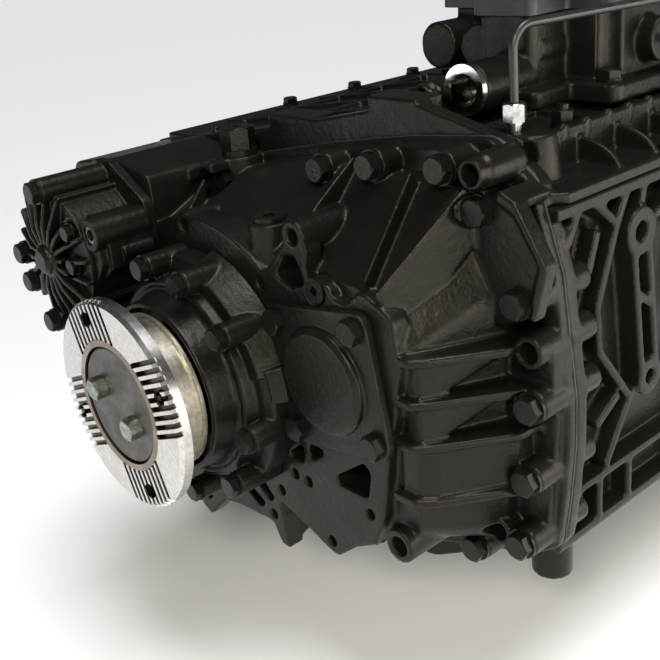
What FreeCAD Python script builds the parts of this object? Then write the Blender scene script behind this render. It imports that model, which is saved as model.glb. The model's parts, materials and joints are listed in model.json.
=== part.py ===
import FreeCAD, Part
import math
import os

# Truck transmission with a rear range group, seen from its output end.
# Frame in millimetres: the origin is the centre of the output flange's toothed face,
# +Y runs along the shafts towards the engine, +X is to the right seen from behind, +Z is up.

V = FreeCAD.Vector
X_AXIS = V(1, 0, 0)
Y_AXIS = V(0, 1, 0)
Z_AXIS = V(0, 0, 1)

# Clearances
run_gap = 0.05
slide_gap = 0.3
hole_gap = 0.3
seat_gap = 0.4

# Output flange
flange_r = 90.0
flange_thick = 11.0
flange_chamfer = 3.0
flange_back_r = 85.0
flange_recess_r = 51.5
flange_recess_deep = 7.0
flange_hub_r = 52.0
flange_bolt_pcd = 150.0
flange_bolt_hole_r = 7.0
flange_turn = 111.9
tooth_pitch = 7.4
tooth_gap_width = 4.3
tooth_gap_deep = 4.5
tooth_gap_count = 9
tooth_gap_start_r = 57.0
lock_plate_r = 50.5
lock_plate_thick = 5.5
lock_plate_edge = 1.5
lock_bolt_circle_r = 25.5
lock_bolt_turn = 154.0

# Bearings of the main line
main_bearing_r = 60.0
main_bearing_wide = 26.0

# Shafts, and the distance and angle from the main axis to the countershaft axis
output_shaft_r = 40.0
main_shaft_r = 28.0
input_shaft_r = 24.0
counter_shaft_r = 27.0
gear_module = 4.5
center_teeth = 72
counter_angle = 12.3

# Planes along the shafts
shield_front = 15.5
nose_front = 42.0
cover_front = 58.0
cover_bolt_face = 56.0
bearing_front = 76.0
plate_y = 98.0
boss_face = 165.0
joint_y = 200.0
gasket_thick = 1.0
main_length = 420.0
bell_length = 240.0
input_reach = 44.0

# Output bearing cover and what is inside it
shield_r = 64.0
shield_wall = 2.0
shield_web = 24.0
shield_lip_r = 67.0
shield_lip_wide = 3.0
nose_r = 75.0
nose_bore_r = 70.0
nose_back = 60.0
cover_ridge_r = 88.0
cover_shoulder_r = 106.0
cover_shoulder_start = 84.0
cover_bolt_circle_r = 101.0
cover_bolt_angles = (101.0, 71.0, 38.0, -12.0, -46.0, -84.0, -122.0, -160.0, 165.0)
cover_boss_r = 10.5
output_bearing_r = 85.0
output_bearing_wide = 36.0
seal_r = 64.0
seal_front = 62.0
seal_wide = 12.0

# Rear housing
range_ring_r = 134.0
ring_space_r = 118.0
ring_space_front = 112.0
plate_thick = 16.0
wall = 10.0
counter_bore_r = 45.0
counter_bearing_wide = 22.0
counter_space_r = 56.0
joint_lip = 9.0
joint_boss_r = 12.5
tube_boss_r = 14.0
joint_tube_r = 10.5
side_rib_heights = (67.0, 34.0, 0.0, -45.0)
side_rib_thick = 7.0
dome_fin_thick = 4.5
shoulder_ring_r = 168.0
web_thick = 9.0
web_rim = 4.0
round_boss_r = 17.5
round_boss_x = 74.0
round_boss_y = 120.0
round_boss_top = 138.0
tall_plug_x = -36.0
tall_plug_y = 178.0
tall_plug_seat = 166.0

# Oil level plug in the machined face
level_plug_x = 147.4
level_plug_z = 101.5
level_plug_r = 10.2

# Countershaft end cover
square_cover_side = 88.0
square_cover_margin = 13.0
square_cover_turn = 9.0
square_cover_thick = 8.0
square_cover_dome_r = 43.0
square_cover_dome_high = 7.0

# Range shift cylinder
range_x = -128.0
range_z = 95.0
range_end = 22.0
range_body_r = 58.0
range_fin_r = 63.0
range_fin_count = 18
range_bore_r = 45.0
range_fin_deep = 12.0
range_rod_r = 10.0

# Valve block beside the range cylinder
valve_x = -66.0
valve_z = 124.0
valve_front = 38.0
valve_bolt_spots = [(-91.0, 124.0), (-92.0, 94.0)]
valve_port_r = 8.0

# Range group
planet_module = 2.4
sun_teeth = 30
planet_teeth = 26
planet_count = 4
planet_front = 150.0
planet_wide = 28.0
ring_front = 126.0
ring_wide = 58.0
ring_outer_r = 108.0
carrier_plate_thick = 10.0
planet_pin_r = 9.0
range_fork_y = 152.0
range_fork_thick = 8.0
ring_groove_deep = 4.0

# Main housing
seam_z = 157.0
upper_top = 190.0
rear_wall = 36.0
front_wall = 32.0
side_recess = 14.0
main_wall = 7.0
bell_lip = 16.0
seam_lip = 9.0
post_x = 252.0
post_r = 17.0
post_bottom = -170.0
cone_x = 242.0
cone_y = 233.0
post_cone_r = 23.0
post_cone_top_r = 16.0

# Ribs on the sides of the main housing
truss_back = 255.0
truss_face = 287.0
truss_left_face = 206.0
truss_bays = 3
truss_start = 13.0
truss_step = 128.0
truss_rib_thick = 7.5
main_rail_z = -76.0
strap_place = 86.0
strap_lean = 18.0
strap_half = 10.0
strap_heights = (116.0, -10.0)
strap_eye_r = 19.0
strap_proud = 3.0
strap_socket = 15.0
strap_socket_deep = 12.0
truss_ribs = [
    ((13, 153), (0, 128)), ((29, 153), (60, 128)), ((72, 153), (60, 128)), ((60, 130), (36, 70)),
    ((35, 130), (24, 100)), ((36, 70), (39, 34)), ((39, 34), (82, -21)), ((82, -21), (50, -70)),
    ((66, -12), (36, -29)), ((82, -21), (104, -10)), ((86, 116), (94, 153)), ((102, 120), (128, 128)),
]

# Arches and cross ribs of the upper housing
arch_start = 284.0
arch_step = 48.0
arch_count = 7
arch_thick = 5.0
arch_sides = 9
arch_wall_x = 243.0
top_rib_high = 6.0
roof_left_x = -150.0
roof_left_z = 166.0
roof_break_x = 35.0

# Bell housing, to the flywheel housing size with a 511.2 mm pilot
bell_flange_r = 276.0
bell_pilot_r = 255.6
bell_flange_thick = 14.0
bell_bolt_pcd = 530.2
bell_bolt_count = 12
bell_hole_r = 5.95
bell_back_thick = 14.0

# Clutch release
guide_tube_r = 31.0
guide_tube_length = 135.0
release_bearing_r = 52.0
release_bearing_wide = 30.0
release_bearing_start = 85.0
fork_pivot_x = -104.0
clutch_x = -288.0
clutch_r = 28.0
clutch_seat = 44.0
clutch_rod_r = 9.0
clutch_body_length = 112.0
pivot_pin_r = 7.0
fork_thick = 12.0
fork_reach = 46.0

# Control unit on top, and the pipe that feeds it
unit_lift = 6.0
unit_side_x = 224.0
unit_side_y = 420.0
unit_side_z = 40.0
unit_ring_x = 153.0
unit_ring_z = 21.5
unit_ring_r = 17.0
air_pipe_r = 3.2
air_pipe_bend = 16.0
fitting_x = 230.0
fitting_y = 228.0
fitting_flats = 15.0
fitting_stem_r = 4.0
cap_screw_x = 224.0
cap_screw_y = 292.0
cap_screw_r = 5.0

# Bolt sizes: across flats, head height, washer radius, washer height, shank radius
bolt_sizes = {
    "small": (13.0, 5.5, 8.5, 1.6, 4.0),
    "medium": (17.0, 6.8, 11.0, 2.0, 5.0),
    "large": (19.0, 7.6, 12.0, 2.4, 6.0),
    "cover": (18.0, 7.6, 9.4, 0.8, 6.0),
    "lock": (17.0, 10.0, 8.4, 0.8, 6.0),
}

main_start = joint_y + gasket_thick
main_end = main_start + main_length
bell_end = main_end + bell_length
input_end = bell_end + input_reach
center_distance = gear_module * center_teeth / 2.0
counter_x = center_distance * math.cos(math.radians(counter_angle))
counter_z = center_distance * math.sin(math.radians(counter_angle))
ring_teeth = sun_teeth + 2 * planet_teeth
carrier_r = planet_module * (sun_teeth + planet_teeth) / 2.0
unit_z = upper_top + unit_lift

# Gear train: tooth counts on the main line and on the countershaft
train_teeth = {
    "reverse": (40, 20), "first": (48, 24), "second": (38, 34), "high_split": (32, 40),
    "low_split": (28, 44),
}
gear_wide = {"reverse": 30.0, "first": 32.0, "second": 28.0, "high_split": 28.0, "low_split": 28.0}
idler_teeth = 20
sleeve_wide = 18.0
train_start = 245.0
sleeve_space = 11.0
gear_space = 18.0
sleeve_r = 62.0
sleeve_hub_r = 50.0
rail_spots = {"low": (-75.0, 108.0), "high": (-35.0, 127.0), "split": (5.0, 132.0)}
rail_r = 8.0

# Order of gears and sleeves along the shafts, each with the space behind it
train_order = (
    ("reverse", sleeve_space), ("low", sleeve_space), ("first", gear_space), ("second", sleeve_space),
    ("high", sleeve_space), ("high_split", sleeve_space), ("split", sleeve_space), ("low_split", 0.0),
)
train = {}
sleeve_planes = {}
plane = train_start
for name, space in train_order:
    if name in train_teeth:
        train[name] = train_teeth[name] + (plane, gear_wide[name])
    else:
        sleeve_planes[name] = plane
    plane += gear_wide.get(name, sleeve_wide) + space

# Outlines across the shafts, as (x, z, corner radius)
plate_outline = [
    (-17, 118, 10), (88, 104, 8), (112, 128, 10), (127, 153, 14), (142, 130, 8), (136, 104, 8),
    (160, 112, 13), (172, 92, 8), (196, 112, 9), (226, 98, 10), (230, 60, 8), (214, -8, 6),
    (203, -70, 6), (190, -101, 5), (166, -114, 6), (154, -124, 8), (142, -134, 8), (128, -130, 5),
    (111, -123, 3), (71, -110, 3), (77, -158, 2.5), (64, -154, 2.5), (56, -137, 4), (8, -140, 6),
    (-16, -145, 5), (-46, -173, 2.5), (-60, -166, 2.5), (-62, -146, 5), (-82, -150, 6), (-110, -110, 20),
]
body_rear_outline = [
    (232, -80, 16), (232, 72, 20), (208, 106, 14), (60, 118, 10), (-70, 118, 20),
    (-137, 60, 30), (-137, -60, 30), (-60, -122, 20), (140, -112, 16),
]
body_joint_outline = [
    (262, -98, 16), (262, 104, 24), (226, 172, 20), (60, 172, 14), (-70, 146, 20),
    (-180, 96, 40), (-180, -84, 40), (-80, -160, 30), (150, -148, 20),
]
joint_outline = [
    (303, 22, 10), (303, -16, 20), (299, -62, 20), (293, -106, 12), (262, -128, 14), (228, -134, 12),
    (160, -160, 30), (60, -176, 40), (-60, -176, 40), (-150, -150, 40), (-200, -90, 50), (-214, 0, 40),
    (-214, 100, 20), (-196, 152, 16), (-128, 152, 10), (-58, 158, 10), (67, 182, 20), (158, 196, 20),
    (236, 203, 16), (272, 176, 20), (292, 112, 30),
]
gasket_inner_outline = [
    (240, -96, 20), (240, 120, 30), (150, 150, 20), (-60, 126, 20), (-158, 118, 20), (-170, 0, 60),
    (-90, -140, 40), (60, -140, 40),
]
range_box_outline = [(-62, 30, 14), (-62, 160, 10), (-120, 170, 8), (-196, 158, 14), (-196, 60, 30),
                     (-150, 24, 20)]
main_outline = [
    (284, -119, 10), (286, 132, 8), (272, seam_z, 3), (-186, seam_z, 3), (-206, 110, 16),
    (-206, -40, 30), (-170, -140, 40), (-120, -186, 30), (150, -186, 30),
]
top_flange_outline = [
    (-180, seam_z, 1), (-150, 162, 3), (35, 196, 20), (150, 218, 6), (164, 218, 4), (232, 202, 14),
    (274, seam_z, 1),
]
windows = [
    [(140, -61, 5), (184, -30, 4), (191, -36, 4), (186, -60, 4)],
    [(120, -36, 3), (145, -34, 3), (118, -51, 3)],
    [(86, -58, 3), (113, -37, 3), (110, -55, 3)],
    [(38, -99, 4), (48, -96, 4), (64, -112, 4), (54, -116, 4)],
    [(12, -112, 4), (22, -108, 4), (50, -122, 4), (40, -128, 4)],
    [(114, 122, 3), (127, 124, 5), (136, 104, 4), (120, 98, 4), (102, 104, 4)],
]
plate_holes = [(97, -72), (114, -73), (75, -97), (59, -128), (187, -74), (137, -121), (81, 93), (-45, -150)]
plate_hole_r = 4.6
plate_hole_deep = 20.0
rear_bolt_spots = [
    (-39, 147), (90, 171), (147, 180), (217, 186), (250, 161), (281, 101), (291, 25), (287, -35),
    (281, -92), (236, -115), (120, -152), (20, -166), (-80, -160), (-160, -122), (-200, -30), (-200, 50),
]
dowel_spots = [(251, 188), (287, 65), (256, -93)]
dowel_hole_r = 7.5


# Plain helpers
def cyl(r, y0, y1, x=0.0, z=0.0):
    return Part.makeCylinder(r, y1 - y0, V(x, y0, z), Y_AXIS)


def tube(r_out, r_in, y0, y1, x=0.0, z=0.0):
    return cyl(r_out, y0, y1, x, z).cut(cyl(r_in, y0 - 1, y1 + 1, x, z))


def cone(r0, r1, y0, y1, x=0.0, z=0.0):
    return Part.makeCone(r0, r1, y1 - y0, V(x, y0, z), Y_AXIS)


def box(x0, x1, y0, y1, z0, z1):
    return Part.makeBox(x1 - x0, y1 - y0, z1 - z0, V(x0, y0, z0))


def wire(points, place):
    """A closed outline of straight runs with arcs at its corners."""
    count = len(points)
    starts = []
    edges = []
    for i in range(count):
        here = place(points[i][0], points[i][1])
        before = place(points[i - 1][0], points[i - 1][1])
        after = place(points[(i + 1) % count][0], points[(i + 1) % count][1])
        a = (before - here).normalize()
        b = (after - here).normalize()
        half = a.getAngle(b) / 2.0
        radius = points[i][2] if len(points[i]) > 2 else 0.0
        if radius <= 0 or half > 1.56:
            starts.append((here, None, here))
            continue
        reach = radius / math.tan(half)
        reach = min(reach, 0.48 * (before - here).Length, 0.48 * (after - here).Length)
        radius = reach * math.tan(half)
        bisector = (a + b).normalize()
        middle = here + bisector * (radius / math.sin(half) - radius)
        starts.append((here + a * reach, middle, here + b * reach))
    for i in range(count):
        begin, middle, end = starts[i]
        if middle is not None:
            edges.append(Part.Arc(begin, middle, end).toShape())
        following = starts[(i + 1) % count][0]
        edges.append(Part.LineSegment(end, following).toShape())
    return Part.Wire(edges)


def wire_xz(points, y):
    return wire(points, lambda a, b: V(a, y, b))


def slab(points, y0, y1):
    return Part.Face(wire_xz(points, y0)).extrude(V(0, y1 - y0, 0))


def slab_x(points, x0, x1):
    return Part.Face(wire(points, lambda a, b: V(x0, a, b))).extrude(V(x1 - x0, 0, 0))


def slab_z(points, z0, z1):
    return Part.Face(wire(points, lambda a, b: V(a, b, z0))).extrude(V(0, 0, z1 - z0))


def loft(points_a, y_a, points_b, y_b):
    return Part.makeLoft([wire_xz(points_a, y_a), wire_xz(points_b, y_b)], True, True)


def join(shapes):
    return shapes[0].multiFuse(shapes[1:]) if len(shapes) > 1 else shapes[0]


def bar(p, q, wide, high):
    """A straight fin from p to q: wide across, and reaching high below its edge."""
    along = (q - p)
    length = along.Length
    along.normalize()
    side = along.cross(Z_AXIS).normalize()
    down = along.cross(side).normalize()
    if down.z > 0:
        down = down * -1
    a = p - side * (wide / 2)
    face = Part.Face(Part.makePolygon([a, a + side * wide, a + side * wide + down * high, a + down * high,
                                       a]))
    return face.extrude(along * length)


def revolve(points):
    """A turned shape about the main axis from (radius, y) points."""
    corners = [V(r, y, 0) for r, y in points]
    return Part.Face(Part.makePolygon(corners + [corners[0]])).revolve(V(0, 0, 0), Y_AXIS, 360)


def turned(shape, degrees, x=0.0, z=0.0):
    """A copy turned about the Y direction, so that +X goes towards +Z."""
    return shape.rotated(V(x, 0, z), Y_AXIS, -degrees)


def on_circle(radius, degrees, x=0.0, z=0.0):
    return x + radius * math.cos(math.radians(degrees)), z + radius * math.sin(math.radians(degrees))


def aim(shape, point, direction):
    """Puts a shape that was built along +Z at a point, along a direction."""
    placed = shape.copy()
    placed.Placement = FreeCAD.Placement(point, FreeCAD.Rotation(Z_AXIS, direction))
    return placed


def hexagon(across_flats, height):
    radius = across_flats / math.sqrt(3)
    corners = [V(radius * math.cos(k * math.pi / 3), radius * math.sin(k * math.pi / 3), 0)
               for k in range(7)]
    prism = Part.Face(Part.makePolygon(corners)).extrude(V(0, 0, height))
    crown = Part.makeCone(radius + height * 1.2, across_flats * 0.47, height * 1.001)
    return prism.common(crown)


bolt_cache = {}


def bolt(size, point, direction, length):
    """A hexagon bolt whose washer sits at the point; its head stands out along the direction."""
    key = (size, length)
    if key not in bolt_cache:
        flats, head, washer_r, washer, shank_r = bolt_sizes[size]
        head_part = hexagon(flats, head)
        head_part.translate(V(0, 0, washer))
        ring = Part.makeCylinder(washer_r, washer)
        shank = Part.makeCylinder(shank_r, length, V(0, 0, -length))
        bolt_cache[key] = join([head_part, ring, shank])
    return aim(bolt_cache[key], point, direction)


def bolt_hole(size, point, direction, length):
    return Part.makeCylinder(bolt_sizes[size][4] + hole_gap, length, point, direction * -1)


def socket_plug(radius, head_r, head, length, point, direction):
    """A round plug with a hexagon socket."""
    body = Part.makeCylinder(head_r, head).fuse(Part.makeCylinder(radius, length, V(0, 0, -length)))
    socket = hexagon(head_r * 0.75, head + length * 0.4)
    socket.translate(V(0, 0, -length * 0.4))
    return aim(body.cut(socket), point, direction)


def gear_wire(teeth, module, y, phase, inner=False):
    """Tooth outline; phase is the direction of one tooth's centre, in degrees."""
    pitch_r = teeth * module / 2.0
    sign = -1 if inner else 1
    tip = pitch_r + sign * 0.9 * module
    root = pitch_r - sign * 1.2 * module
    step = 360.0 / teeth
    corners = []
    for k in range(teeth):
        middle = phase + k * step
        for radius, share in ((root, -0.30), (tip, -0.11), (tip, 0.11), (root, 0.30)):
            x, z = on_circle(radius, middle + share * step)
            corners.append(V(x, y, z))
    return Part.makePolygon(corners + [corners[0]])


def gear(teeth, module, y0, wide, phase, bore_r, x=0.0, z=0.0):
    outer = gear_wire(teeth, module, y0, phase)
    shape = Part.Face(outer).extrude(V(0, wide, 0))
    if bore_r:
        shape = shape.cut(cyl(bore_r, y0 - 1, y0 + wide + 1))
    shape.translate(V(x, 0, z))
    return shape


def mate_phase(teeth_a, phase_a, direction, teeth_b):
    """Phase of gear b, which lies from gear a in the direction, so that their teeth mesh."""
    share = ((direction - phase_a) * teeth_a / 360.0) % 1.0
    return direction + 180.0 - (0.5 - share) * 360.0 / teeth_b


# Output end
def flange_sector_gaps(turn):
    gaps = []
    for k in range(tooth_gap_count):
        offset = (k - (tooth_gap_count - 1) / 2.0) * tooth_pitch
        start = math.sqrt(max(tooth_gap_start_r ** 2 - offset ** 2, 0))
        gaps.append(box(start, flange_r + 2, -1, tooth_gap_deep, offset - tooth_gap_width / 2,
                        offset + tooth_gap_width / 2))
    return [turned(gap, turn) for gap in gaps]


def output_flange():
    disc = revolve([
        (output_shaft_r, flange_recess_deep), (flange_recess_r, flange_recess_deep), (flange_recess_r, 0),
        (flange_r - flange_chamfer, 0), (flange_r, flange_chamfer), (flange_r, flange_thick),
        (flange_back_r, flange_thick), (flange_hub_r + 8, flange_thick + 4),
        (flange_hub_r, flange_thick + 12),
        (flange_hub_r, bearing_front), (output_shaft_r, bearing_front)])
    gaps = []
    holes = []
    for k in range(4):
        turn = flange_turn - 90 * k
        gaps += flange_sector_gaps(turn)
        x, z = on_circle(flange_bolt_pcd / 2, turn)
        holes.append(cyl(flange_bolt_hole_r, -1, flange_thick + 6, x, z))
    return disc.cut(Part.makeCompound(gaps)).cut(Part.makeCompound(holes))


def lock_plate():
    face = flange_recess_deep - lock_plate_thick
    plate = revolve([
        (0, face), (lock_plate_r - lock_plate_edge, face), (lock_plate_r, face + lock_plate_edge),
        (lock_plate_r, flange_recess_deep), (0, flange_recess_deep)])
    holes = [bolt_hole("lock", p, Y_AXIS * -1, 30) for p in lock_bolt_points()]
    return plate.cut(Part.makeCompound(holes))


def lock_bolt_points():
    face = flange_recess_deep - lock_plate_thick
    points = []
    for turn in (lock_bolt_turn, lock_bolt_turn + 180):
        x, z = on_circle(lock_bolt_circle_r, turn)
        points.append(V(x, face, z))
    return points


def lock_bolts():
    return [bolt("lock", p, Y_AXIS * -1, 28) for p in lock_bolt_points()]


def dust_shield():
    inner = shield_r - shield_wall
    lip_back = nose_front - 1
    lip_front = lip_back - shield_lip_wide
    return revolve([
        (flange_hub_r, shield_web + shield_wall), (flange_hub_r, shield_web), (inner, shield_web),
        (inner, shield_front + 1), (inner + 1, shield_front), (shield_r, shield_front + 1),
        (shield_r, lip_front), (shield_lip_r, lip_front), (shield_lip_r, lip_back),
        (inner, lip_back), (inner, shield_web + shield_wall)])


def output_seal():
    back = seal_front + seal_wide
    return revolve([
        (flange_hub_r + run_gap * 2, seal_front), (seal_r, seal_front), (seal_r, back),
        (seal_r - 4, back), (seal_r - 4, seal_front + 4), (flange_hub_r + run_gap * 2, seal_front + 4)])


def cover_bolt_spots():
    spots = []
    for turn in cover_bolt_angles:
        spots.append(on_circle(cover_bolt_circle_r, turn))
    return spots


def cover_bulge(grow):
    """The swollen shoulder and the small fin on the right of the output bearing cover."""
    shoulder = cone(cover_shoulder_r - 4 + grow, cover_shoulder_r + 8 + grow, cover_front + 14 - grow,
                    plate_y)
    bulge = shoulder.common(slab([(0, 0), (40, 200), (200, 200), (200, 50)], cover_front, plate_y))
    reach = cover_shoulder_r + 10 + grow
    fin = revolve([(cover_shoulder_r, plate_y - 22), (reach, plate_y - 12), (reach, plate_y),
                   (cover_shoulder_r, plate_y)])
    return [bulge, fin.common(slab([(0, 0), (200, 62), (200, 8)], cover_front, plate_y))]


def range_clearance(y0, y1, gap):
    """The space round the range cylinder that its neighbours leave free."""
    return cyl(range_fin_r + gap, y0, y1, range_x, range_z)


def output_cover():
    body = revolve([
        (seal_r, nose_back), (nose_bore_r, nose_back), (nose_bore_r, nose_front),
        (nose_r - 1, nose_front), (nose_r, nose_front + 1), (nose_r + 2, nose_back + 2),
        (nose_r + 5, nose_back + 6),
        (cover_ridge_r - 3, nose_back + 2), (cover_ridge_r + 1, nose_back + 4),
        (cover_ridge_r + 3, nose_back + 14),
        (cover_shoulder_r - 8, cover_front + 17),
        (cover_shoulder_r - 1, cover_front + 21), (cover_shoulder_r, cover_shoulder_start),
        (cover_shoulder_r + 1, plate_y), (output_bearing_r, plate_y), (output_bearing_r, bearing_front),
        (seal_r, bearing_front)])
    bosses = [cyl(cover_boss_r, cover_bolt_face, plate_y, x, z) for x, z in cover_bolt_spots()]
    body = join([body] + bosses + cover_bulge(0))
    inside = join([
        cyl(output_bearing_r, bearing_front, plate_y + 1),
        cyl(nose_bore_r, nose_front - 1, nose_back),
        cyl(seal_r, cover_front, plate_y)])
    cuts = [bolt_hole("medium", V(x, cover_bolt_face - 1, z), Y_AXIS * -1, 60)
            for x, z in cover_bolt_spots()]
    cuts += [cyl(bolt_sizes["medium"][2] + 0.5, cover_bolt_face - 8, cover_bolt_face, x, z)
             for x, z in cover_bolt_spots()]
    body = body.cut(inside).cut(range_clearance(cover_front - 10, plate_y + 1, 1.0))
    return body.cut(Part.makeCompound(cuts))


def cover_bolts():
    return [bolt("medium", V(x, cover_bolt_face, z), Y_AXIS * -1, 56) for x, z in cover_bolt_spots()]


# Countershaft end cover
def square_corners(side):
    half = side / 2.0
    corners = []
    for sx, sz in ((-1, 1), (1, 1), (1, -1), (-1, -1)):
        turn = math.degrees(math.atan2(sz, sx)) + square_cover_turn
        corners.append(on_circle(half * math.sqrt(2), turn, counter_x, counter_z))
    return corners


def square_cover():
    seat = plate_y - square_cover_thick
    outline = [(x, z, square_cover_margin)
               for x, z in square_corners(square_cover_side + 2 * square_cover_margin)]
    plate = slab(outline, seat, plate_y)
    top = seat - square_cover_dome_high
    dome = cyl(square_cover_dome_r, top + 3, seat + 1, counter_x, counter_z)
    crown = cone(square_cover_dome_r - 4, square_cover_dome_r, top, top + 3, counter_x, counter_z)
    hollow = cyl(square_cover_dome_r - 8, top + 5, plate_y + 1, counter_x, counter_z)
    bite = join([cyl(cover_shoulder_r + 1 + seat_gap, seat - 12, plate_y + 1)] + cover_bulge(seat_gap))
    body = join([plate, dome, crown]).cut(hollow).cut(bite)
    holes = [bolt_hole("cover", V(x, seat - 1, z), Y_AXIS * -1, 30)
             for x, z in square_corners(square_cover_side)]
    return body.cut(Part.makeCompound(holes))


def square_cover_bolts():
    seat = plate_y - square_cover_thick
    return [bolt("cover", V(x, seat, z), Y_AXIS * -1, 26) for x, z in square_corners(square_cover_side)]


# Rear housing
def side_ribs():
    ribs = []
    for height in side_rib_heights:
        outline = [(214, plate_y), (236, plate_y, 5), (247, plate_y + 10, 14), (284, boss_face - 4, 10),
                   (288, joint_y), (230, joint_y)]
        ribs.append(slab_z(outline, height - side_rib_thick / 2, height + side_rib_thick / 2))
    return ribs


def side_panels():
    first, second, third, fourth = side_rib_heights
    panels = []
    for top, bottom in ((first, second), (second, third)):
        outline = [(plate_y + 8, bottom), (plate_y + 8, top), (boss_face + 4, top),
                   (boss_face + 4, top - 10), (plate_y + 24, bottom + 4), (plate_y + 20, bottom)]
        wedge = slab_x(outline, 225, 262)
        lean = slab_z([(220, plate_y), (237, plate_y + 4, 6), (246, plate_y + 18, 8),
                       (266, boss_face + 8), (220, boss_face + 8)], bottom, top)
        panels.append(wedge.common(lean))
    panels.append(slab_z([(220, plate_y + 6), (238, plate_y + 6, 8), (248, plate_y + 16, 10),
                          (278, boss_face), (278, joint_y), (220, joint_y)], fourth, third))
    return panels


def dome_fins():
    return [
        bar(V(196, plate_y + 4, 118), V(187, boss_face - 2, 180), dome_fin_thick, 36),
        bar(V(211, plate_y - 2, 112), V(241, boss_face - 6, 178), dome_fin_thick, 36),
        bar(V(127, plate_y + 2, 141), V(118, boss_face + 8, 182), dome_fin_thick, 42),
        bar(V(150, plate_y + 6, 98), V(190, boss_face, 160), dome_fin_thick, 24),
    ]


def shoulder_ring():
    """A curved rib at the upper left, concentric with the shafts, and its webs."""
    ring = tube(shoulder_ring_r, shoulder_ring_r - dome_fin_thick * 2, boss_face - 25, joint_y)
    ring = ring.common(slab([(0, 0), (-34, 200), (-200, 200), (-200, 160)], boss_face - 25, joint_y))
    parts = [ring]
    for turn in (104.0, 118.0, 132.0):
        x0, z0 = on_circle(range_ring_r - 10, turn)
        x1, z1 = on_circle(shoulder_ring_r - dome_fin_thick, turn)
        parts.append(bar(V(x0, plate_y + 4, z0), V(x1, boss_face - 20, z1), dome_fin_thick, 30))
    return parts


def lower_fins():
    fins = []
    for x, z, high in ((-53, -168, 34), (70, -156, 30)):
        outline = [(plate_y, z + high), (plate_y, z), (plate_y + 12, z), (boss_face, z + high - 6),
                   (boss_face, z + high + 14)]
        fins.append(slab_x(outline, x - 4, x + 4))
    return fins


def joint_bosses(y0, y1):
    return [cyl(joint_boss_r, y0, y1, x, z) for x, z in rear_bolt_spots + dowel_spots]


def boss_webs():
    return [
        slab([(236, 150), (262, 174), (282, 168), (304, 131), (292, 92), (262, 78)], boss_face,
             boss_face + web_thick),
        slab([(274, 174), (283, 170), (307, 131), (296, 90), (290, 94), (300, 131), (279, 164)],
             boss_face - web_rim, boss_face + web_thick),
        slab([(268, 178), (283, 171), (279, 163), (264, 170)], boss_face - web_rim, joint_y),
        slab([(262, 64), (300, 64), (300, 34), (262, 34)], boss_face + 12, joint_y),
        slab([(262, 30), (300, 30), (296, -40), (262, -40)], boss_face + 18, joint_y),
        slab([(250, -36), (294, -36), (290, -96), (250, -100)], boss_face + 18, joint_y),
        slab([(60, 160), (217, 172), (217, 196), (147, 190), (90, 181), (60, 176)], boss_face + 20,
             joint_y),
    ]


def rear_housing():
    plate = slab(plate_outline, plate_y, plate_y + plate_thick)
    ring = cyl(range_ring_r, plate_y, ring_space_front + 12)
    body = loft(body_rear_outline, plate_y + 10, body_joint_outline, boss_face + 7)
    straight = slab(body_joint_outline, boss_face + 7, joint_y)
    lip = slab(joint_outline, joint_y - joint_lip, joint_y)
    range_box = slab(range_box_outline, plate_y, joint_y)
    counter_end = cyl(counter_space_r + wall, plate_y, joint_y - 20, counter_x, counter_z)
    tubes = [
        cyl(tube_boss_r, plate_y, joint_y, 216, -90),
        cyl(12.5, plate_y, boss_face + 6, 127, 139),
        cyl(12.0, plate_y, joint_y - 30, -17, 124),
        cyl(joint_tube_r, boss_face - 12, joint_y, *dowel_spots[0]),
    ]
    round_boss = Part.makeCylinder(round_boss_r, 50, V(round_boss_x, round_boss_y, round_boss_top - 50),
                                   Z_AXIS)
    plug_boss = Part.makeCylinder(20, 26, V(tall_plug_x, tall_plug_y, tall_plug_seat - 26), Z_AXIS)
    solids = [plate, ring, body, straight, lip, range_box, counter_end, round_boss, plug_boss]
    solids += tubes + joint_bosses(boss_face,
                                   joint_y) + side_ribs() + side_panels() + dome_fins() + shoulder_ring()
    solids += lower_fins() + boss_webs()
    solids += [cyl(cover_boss_r, plate_y, plate_y + 20, x, z) for x, z in cover_bolt_spots()]
    outer = join(solids)
    return outer.cut(join(rear_cavity())).cut(Part.makeCompound(rear_holes()))


def rear_cavity():
    fork_space = slab([(-158, 92, 20), (-128, 128, 20), (-60, 104), (-40, 40), (-100, 20)], ring_front,
                      joint_y + 1)
    return [
        cyl(output_bearing_r, plate_y - 1, ring_space_front + 1),
        cyl(ring_space_r, ring_space_front, joint_y + 1),
        cyl(counter_bore_r, plate_y - 1, plate_y + counter_bearing_wide + 2, counter_x, counter_z),
        cyl(counter_space_r, plate_y + counter_bearing_wide, joint_y + 1, counter_x, counter_z),
        cyl(range_rod_r + run_gap, plate_y - 1, ring_front + 1, range_x, range_z),
        fork_space,
    ]


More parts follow.
